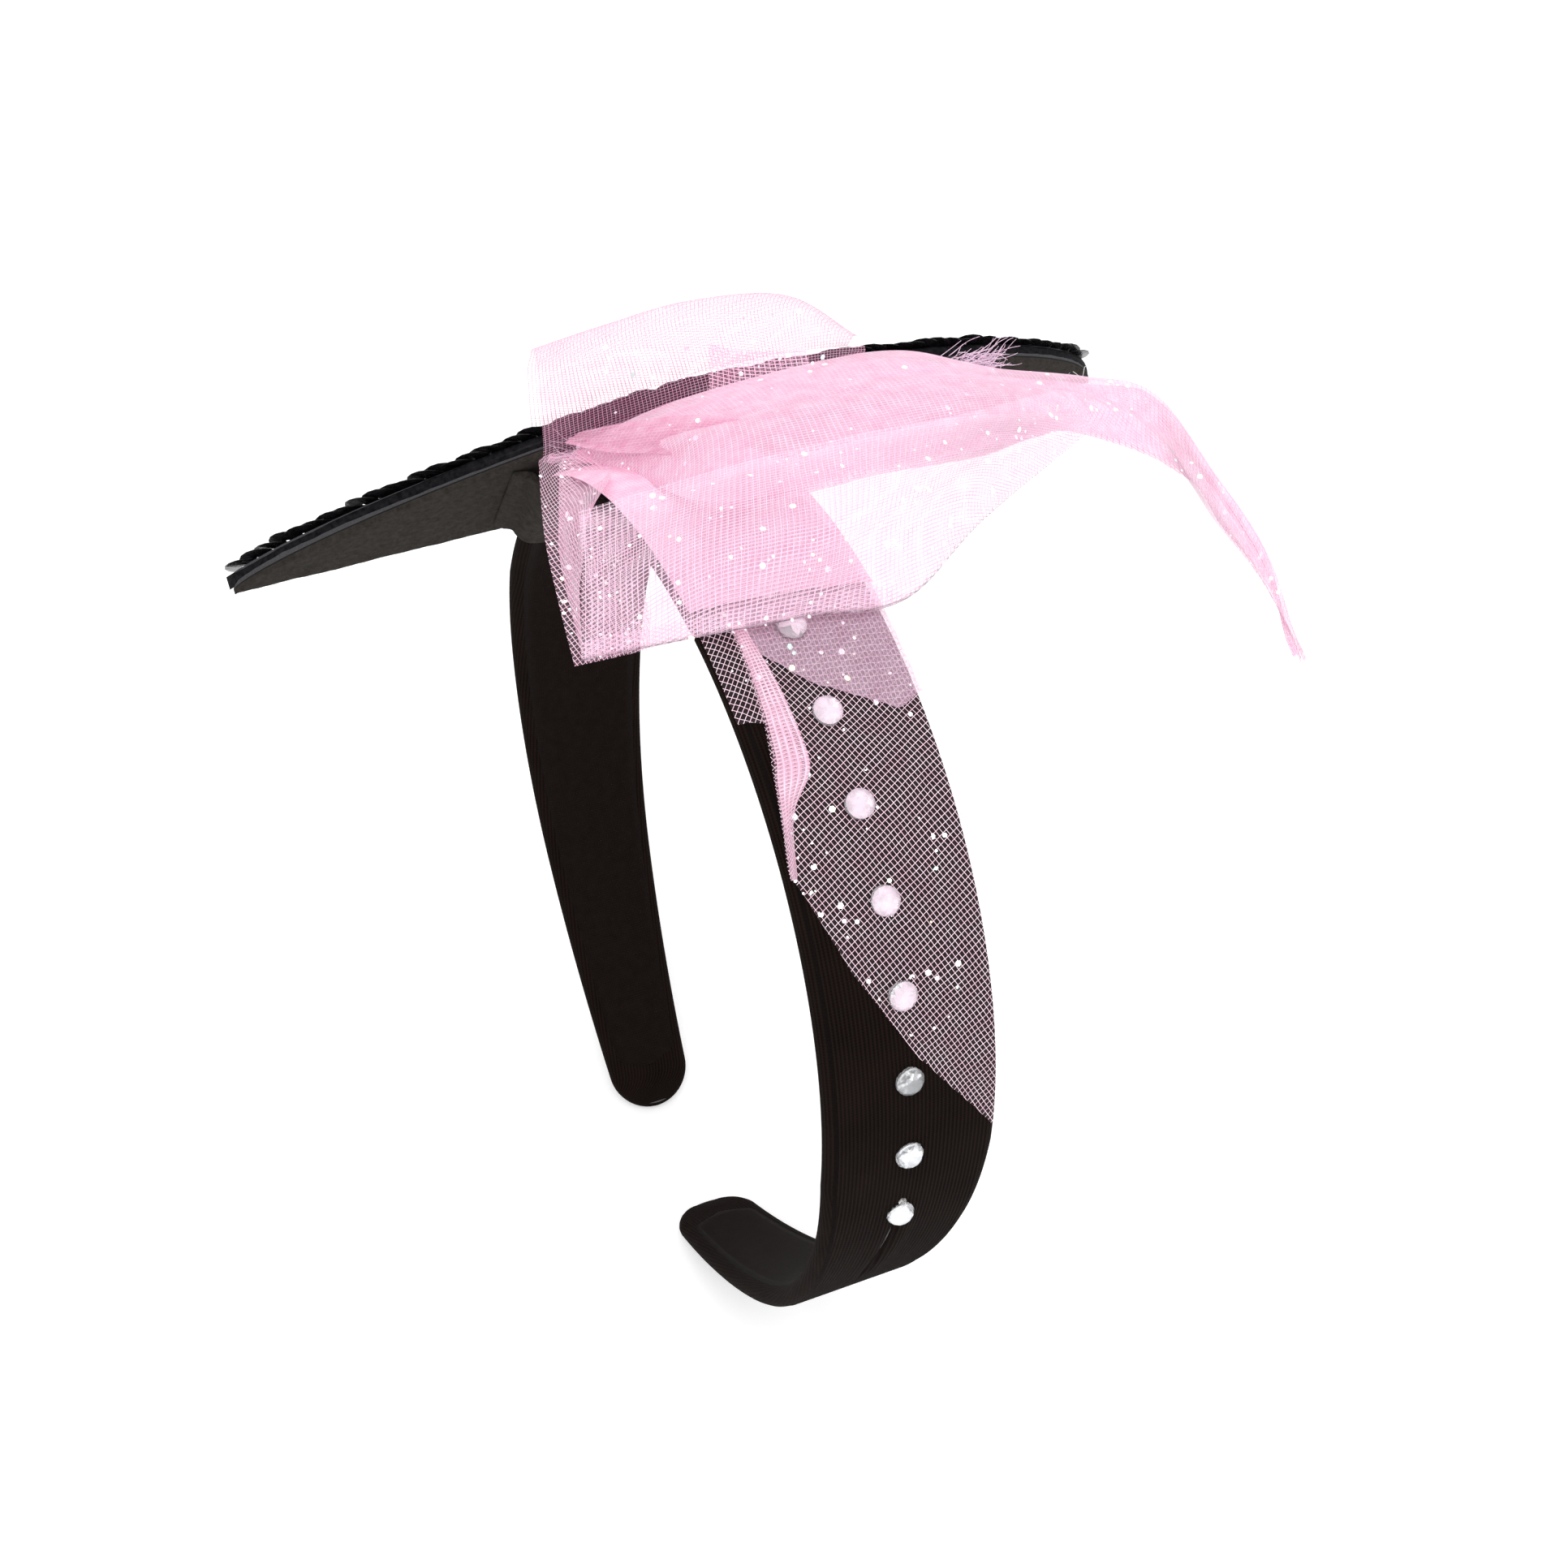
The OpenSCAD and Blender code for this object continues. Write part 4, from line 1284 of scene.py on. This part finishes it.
    def build_sheets(self) -> None:
        """Builds the sheets of the bow, each from its own cut."""
        net, thin, full = self.net.build(), self.thin.build(), self.full.build()
        front, flap, crest = (self.built(k) for k in (self.front_net, self.flap_net, self.crest_net))
        folded, gathered = Layout.FOLDED, Layout.GATHERED
        veil, felt, top = ("veil_lower",), ("felt_back",), ("top_sheet",)
        sheets = (
            (TulleSheet("front_sheet", list(self.front), folded, veil, ("bow_front",),
                        fold=0.7, fold_rate=(2.0, 2.4), seed=1.0, hem=3), 80, front),
            (TulleSheet("front_sheet_inner", list(self.front), folded, veil,
                        fold=1.1, fold_rate=(2.6, 1.6), seed=2.0, shift=1.4), 12, front),
            (TulleSheet("top_sheet", list(self.top), gathered, felt, ("bow_top",),
                        fold=1.1, fold_rate=(1.6, 3.5), seed=3.0), 70, net),
            (TulleSheet("top_sheet_inner", list(self.top), gathered, felt,
                        fold=1.3, fold_rate=(1.3, 4.5), seed=4.0, shift=1.2), 10, net),
            # This sheet is painted shade: a deeper pink layer over the top sheet where a fold casts its
            # shadow.
            (TulleSheet("top_pleat_painted_shade", list(self.pleat), gathered, top,
                        fold=0.5, fold_rate=(1.3, 4.5), seed=4.5, shift=-1.3, fine=14), 8, full),
            (TulleSheet("knot_fan", list(self.fan), gathered, felt,
                        fold=0.5, fold_rate=(1.0, 4.0), seed=4.8, fine=14), 8, thin),
            (TulleSheet("left_flap_sheet", list(self.flap), Layout.DRAPED, felt, ("left_flap",),
                        fold=0.3, fold_rate=(2.0, 2.0), seed=5.0, fine=16, turn=14.0), 30, flap),
            (TulleSheet("crest_sheet", list(self.loop), folded, felt, ("crest",),
                        fold=0.4, fold_rate=(2.0, 2.0), seed=6.0), 20, crest),
            (TulleSheet("crest_inner", list(self.inner_crest), gathered, felt,
                        fold=0.3, fold_rate=(1.0, 3.0), seed=6.5, fine=14), 4, thin),
        )
        for sheet, flakes, material in sheets:
            self.keep(sheet, flakes, material)

    def built(self, finish: TulleFinish) -> bpy.types.Material:
        """A finish's material, made the first time that it is asked for."""
        return bpy.data.materials.get(finish.name) or finish.build()

    def build_veils(self) -> None:
        """Lays the two veils on the near arm, and the strip folded along its left edge."""
        half = self.line.width / 2 + 0.1
        veils = (
            (ArmVeil("veil_lower", self.line,
                     ((-12.5, 41), (-7.3, 55), (0.3, 68.6), (10.4, 81.9), (half, 86)),
                     -12.5, 1.78, "arm_veil", 8.0, turn=-28.0,
                     start=((-12.5, 40), (-10.9, 29), (-9.7, 22.7), (-8.6, 9), (-8.2, -5))),
             46, self.open_net),
            (ArmVeil("veil_upper", self.line,
                     ((-8.2, 14.5), (-6.7, 12.3), (-1.5, 18), (9, 24.3), (half, 22.5)),
                     -8.2, 2.15, "arm_veil_upper", 9.0, turn=8.0), 16, self.mist),
            (ArmVeil("veil_upper_side", self.line, ((-half, 21), (-8.2, 22)),
                     -13.0, 2.15, "", 9.5, turn=40.0, right=-8.0), 3, self.open_net),
            (ArmVeil("crown_wrap", self.line, ((-half, 4), (0, 4.5), (half, 6)),
                     -13.0, 2.7, "", 10.0, turn=-4.0, back=50.0), 0, self.wrap),
        )
        for veil, flakes, finish in veils:
            self.keep(veil, flakes, self.built(finish))
        rows = []
        for s, left, right in ((7, -8.9, -7.0), (10, -8.6, -6.9), (17.9, -9.1, -6.1), (25.9, -10.0, -5.8),
                               (29.5, -10.9, -6.6), (34, -11.6, -10.2), (41.6, -12.7, -12.1)):
            wide = right - left
            around = ((0.0, 2.0), (0.4, 2.4), (0.95, 2.6), (1.0, 2.95), (0.5, 3.05), (0.03, 2.8), (0.25, 2.5),
                      (0.8, 2.45))
            rows.append([tuple(self.line.at(s, left + wide * k, off)) for k, off in around])
        strip = TulleSheet("veil_fold", rows, Layout.FOLDED, ("veil_lower",), fine=7, fold=0.1,
                           fold_rate=(1.5, 5.0), seed=11.0)
        self.keep(strip, 8, self.built(self.strip_net))

    def build_glitter(self) -> bpy.types.Object:
        """Scatters small flat flakes on every sheet."""
        points, faces = [], []
        for grid, count in self.laid:
            rows, columns = grid.shape[:2]
            for _ in range(int(count * 1.6)):
                j, i = self.rng.randrange(1, rows - 2), self.rng.randrange(1, columns - 2)
                spot = grid[j, i]
                a, b = grid[j, i + 1] - spot, grid[j + 1, i] - spot
                normal = np.cross(a, b)
                normal /= np.linalg.norm(normal) + 1e-9
                tilt = normal + np.array([self.rng.uniform(-0.35, 0.35) for _ in range(3)])
                tilt /= np.linalg.norm(tilt)
                side = np.cross(tilt, [0.3, 0.2, 0.9])
                side /= np.linalg.norm(side)
                other, radius = np.cross(tilt, side), self.rng.choice((0.16, 0.2, 0.26, 0.34, 0.46))
                start, flip = len(points), self.rng.choice((-1, 1))
                for up in (0.05, 0.11):
                    for k in range(6):
                        c = 2 * math.pi * k / 6
                        points.append(spot + flip * normal * 0.1 + tilt * up
                                      + radius * (math.cos(c) * side + math.sin(c) * other))
                faces += [[start + 5 - k for k in range(6)], [start + 6 + k for k in range(6)]]
                faces += [[start + k, start + (k + 1) % 6, start + 6 + (k + 1) % 6, start + 6 + k]
                          for k in range(6)]
        piece = make_mesh("glitter", np.array(points), faces, smooth=False)
        return dress(piece, GlitterFinish().build(), "pink_tulle")

    def build_threads(self) -> bpy.types.Object:
        """Adds the frayed threads of the gathers and the cut edges."""
        threads = Strands()
        right = self.panel.level(25.5, 62, 1.2)
        for _ in range(GATHER_THREADS):
            root = right + np.array([self.rng.uniform(-2, 2), self.rng.uniform(-10, 0),
                                     self.rng.uniform(-2, 2)])
            heading = (self.rng.uniform(-0.3, 0.6), self.rng.uniform(0.4, 1.5), self.rng.uniform(-0.2, 0.9))
            threads.add(curl(root, heading, self.rng.uniform(2.5, 8), 0.7, 0.8, self.rng), 0.09, 0.4)
        left = self.panel.level(23, -8, 1.0)
        for _ in range(LEFT_THREADS):
            root = left + np.array([self.rng.uniform(-1, 1) for _ in range(3)]) * 1.5
            heading = (self.rng.uniform(-0.4, 0.4), -self.rng.uniform(0.4, 1.2), self.rng.uniform(-0.4, 0.6))
            threads.add(curl(root, heading, self.rng.uniform(1.5, 4), 0.7, 0.6, self.rng), 0.08, 0.4)
        for grid, _ in self.laid[:1]:
            for i in range(4, grid.shape[1] - 2, 5):
                tip = grid[-5, i]
                heading = grid[-5, i] - grid[-12, i]
                threads.add(curl(tip, heading, self.rng.uniform(0.4, 1.3), 0.5, 0.3, self.rng), 0.06, 0.4)
        stray, root = Strands(), self.panel.at(self.panel.edge(141) * 0.62, 141, self.panel.felt_from - 0.5)
        path = curl(root, (0.1, 1.0, 0.15), 6.5, 2.3, 1.1, self.rng)
        stray.add(spline(path, 6), 0.06, 0.9)
        stray.build("stray_thread", PlainFinish("white_thread", (0.85, 0.83, 0.82), 0.6, 3.0, 0.05).build(),
                    "pink_thread")
        finish = PlainFinish("pink_thread", (0.92, 0.62, 0.78), 0.6, 3.0, 0.05)
        return threads.build("frayed_threads", finish.build(), "pink_thread")

    def build_stitches(self) -> None:
        """Winds a few turns of twisted thread round each gather."""
        material = PlainFinish("stitch_thread", (0.86, 0.48, 0.66), 0.55, 4.0, 0.08).build()
        for side, y in (("left", -10), ("right", 62)):
            thread = Strands(sides=6)
            for ply in (0.0, math.pi):
                path = []
                for i in range(150):
                    a = 2 * math.pi * i / 50
                    twist = ply + i * 0.55
                    path.append(self.panel.level(self.gather + 0.75 * i / 50 + 0.1 * math.cos(twist),
                                                 y + 2.0 * math.cos(a) * 0.95, 1.7 + 0.5 * math.sin(a)
                                                 + 0.1 * math.sin(twist)))
                thread.add(np.array(path), 0.16, 1.0)
            thread.build(f"stitches_{side}", material, "pink_thread", f"gather_stitch_{side}")


# ---------------------------------------------------------------- camera, light and floor


@dataclass(frozen=True)
class Studio:
    """White studio: the camera, soft lights and a pale floor."""

    eye: tuple[float, float, float] = (194.46, -110.86, 217.37)
    right: tuple[float, float, float] = (0.40640, 0.90684, 0.11168)
    down: tuple[float, float, float] = (0.72030, -0.24278, -0.64979)
    ahead: tuple[float, float, float] = (-0.56215, 0.34452, -0.75186)
    lens: float = 52.5

    def build_camera(self) -> bpy.types.Object:
        """Places the camera."""
        data = bpy.data.cameras.new("camera")
        data.lens, data.sensor_width, data.clip_start = self.lens, 36.0, 0.01
        camera = bpy.data.objects.new("camera", data)
        bpy.context.scene.collection.objects.link(camera)
        axes = Matrix((self.right, [-k for k in self.down], [-k for k in self.ahead])).transposed().to_4x4()
        camera.matrix_world = Matrix.Translation(Vector(self.eye) * MM) @ axes
        bpy.context.scene.camera = camera
        return camera

    def build_light(self, name: str, place: tuple[float, float, float], size: float, watts: float) -> None:
        """Hangs a soft area light that faces the object.

        Args:
            name: The light's name.
            place: Where it hangs, in metres.
            size: Its width, in metres.
            watts: Its power.
        """
        data = bpy.data.lights.new(name, "AREA")
        data.shape, data.size, data.energy = "DISK", size, watts
        light = bpy.data.objects.new(name, data)
        bpy.context.scene.collection.objects.link(light)
        aim = Vector(place) - Vector((0, 0, -0.05))
        turn = aim.to_track_quat("Z", "Y").to_matrix().to_4x4()
        light.matrix_world = Matrix.Translation(Vector(place)) @ turn

    def build_floor(self, level: float) -> None:
        """Lays the pale floor.

        Args:
            level: Its height, in metres.
        """
        s = Shader("studio_floor")
        grain = s.noise(s.place(), 0.02, 2.0)
        colour = s.ramp(grain, (0.3, (0.93, 0.93, 0.93)), (0.7, (0.97, 0.97, 0.97)))
        material = s.finish({"Base Color": colour, "Roughness": 0.95, "Specular IOR Level": 0.0,
                             "Emission Color": (1.0, 1.0, 1.0, 1.0), "Emission Strength": 0.25})
        side, step = 3200.0, 14
        points = [(side * (i / step - 0.5), side * (j / step - 0.5), level / MM)
                  for j in range(step + 1) for i in range(step + 1)]
        floor = make_mesh("floor", np.array(points), grid_faces(step + 1, step + 1))
        floor.data.materials.append(material)
        floor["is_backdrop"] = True

    def build_world(self) -> None:
        """Fills the surroundings with even white light."""
        world = bpy.data.worlds.new("studio")
        bpy.context.scene.world = world
        world.use_nodes = True
        background = world.node_tree.nodes["Background"]
        background.inputs["Color"].default_value = (1.0, 1.0, 1.0, 1.0)
        background.inputs["Strength"].default_value = 0.62
        bpy.context.scene.view_settings.view_transform = "Standard"

    def build(self, level: float) -> None:
        """Builds everything but the camera."""
        self.build_world()
        self.build_light("key", (0.35, -0.25, 0.75), 0.6, 4.5)
        self.build_light("fill", (0.7, 0.5, 0.35), 0.9, 2.0)
        self.build_light("back", (-0.6, 0.2, 0.5), 0.8, 2.0)
        self.build_floor(level)


def recoat(node: str, material: bpy.types.Material) -> None:
    """Puts a finish on a CAD node that keeps its own shape.

    Args:
        node: The node's name.
        material: Its finish.
    """
    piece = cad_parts[node]
    if not piece.material_slots:
        piece.data.materials.append(material)
    for slot in piece.material_slots:
        slot.material = material
    LOG.info("%s: new finish on the CAD shape", node)


def main() -> None:
    """Builds the headband piece by piece."""
    studio = Studio()
    studio.build_camera()
    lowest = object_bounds()[0][2]

    line = BandLine()
    band = Band(line)
    band.build_cover()
    band.build_lining()
    recoat("band_core", PlainFinish("core_plastic", (0.05, 0.05, 0.05), 0.45, 1.2, 0.05).build())

    panel = EarPanel(line)
    felt = panel.build_felt().data.materials[0]
    panel.build_fuzz(felt)
    panel.build_cloth()
    panel.build_sequins()
    panel.build_bridge(felt)
    recoat("panel_board", PlainFinish("foam_board", (0.05, 0.05, 0.055), 0.85, 4.0, 0.25).build())
    glue = PlainFinish("glue", (0.86, 0.85, 0.80), 0.12, 1.0, 0.08, clear=0.75).build()
    recoat("panel_glue", glue)

    bow = TulleBow(line, panel)
    bow.build_sheets()
    bow.build_veils()
    bow.build_glitter()
    bow.build_threads()
    bow.build_stitches()

    stones = StoneRow(line)
    glass = StoneFinish().build()
    # The silver and blush backings carry a painted glow (0.2 and 0.35); the smoke backing has none.
    silver = FoilFinish().build()
    blush = FoilFinish("stone_foil_blush", (1.0, 0.74, 0.86), 0.0, 0.35).build()
    smoke = FoilFinish("stone_foil_smoke", (0.12, 0.12, 0.13), 0.6, 0.0).build()
    for number in range(stones.count):
        stones.build_stone(number, glass)
        stones.build_foil(number, blush if number < 5 else smoke if number == 5 else silver)
    stones.build_glue(glue)

    studio.build(lowest)


if __name__ == "__main__":
    logging.basicConfig(level=logging.INFO, format="%(name)s %(message)s")
    main()
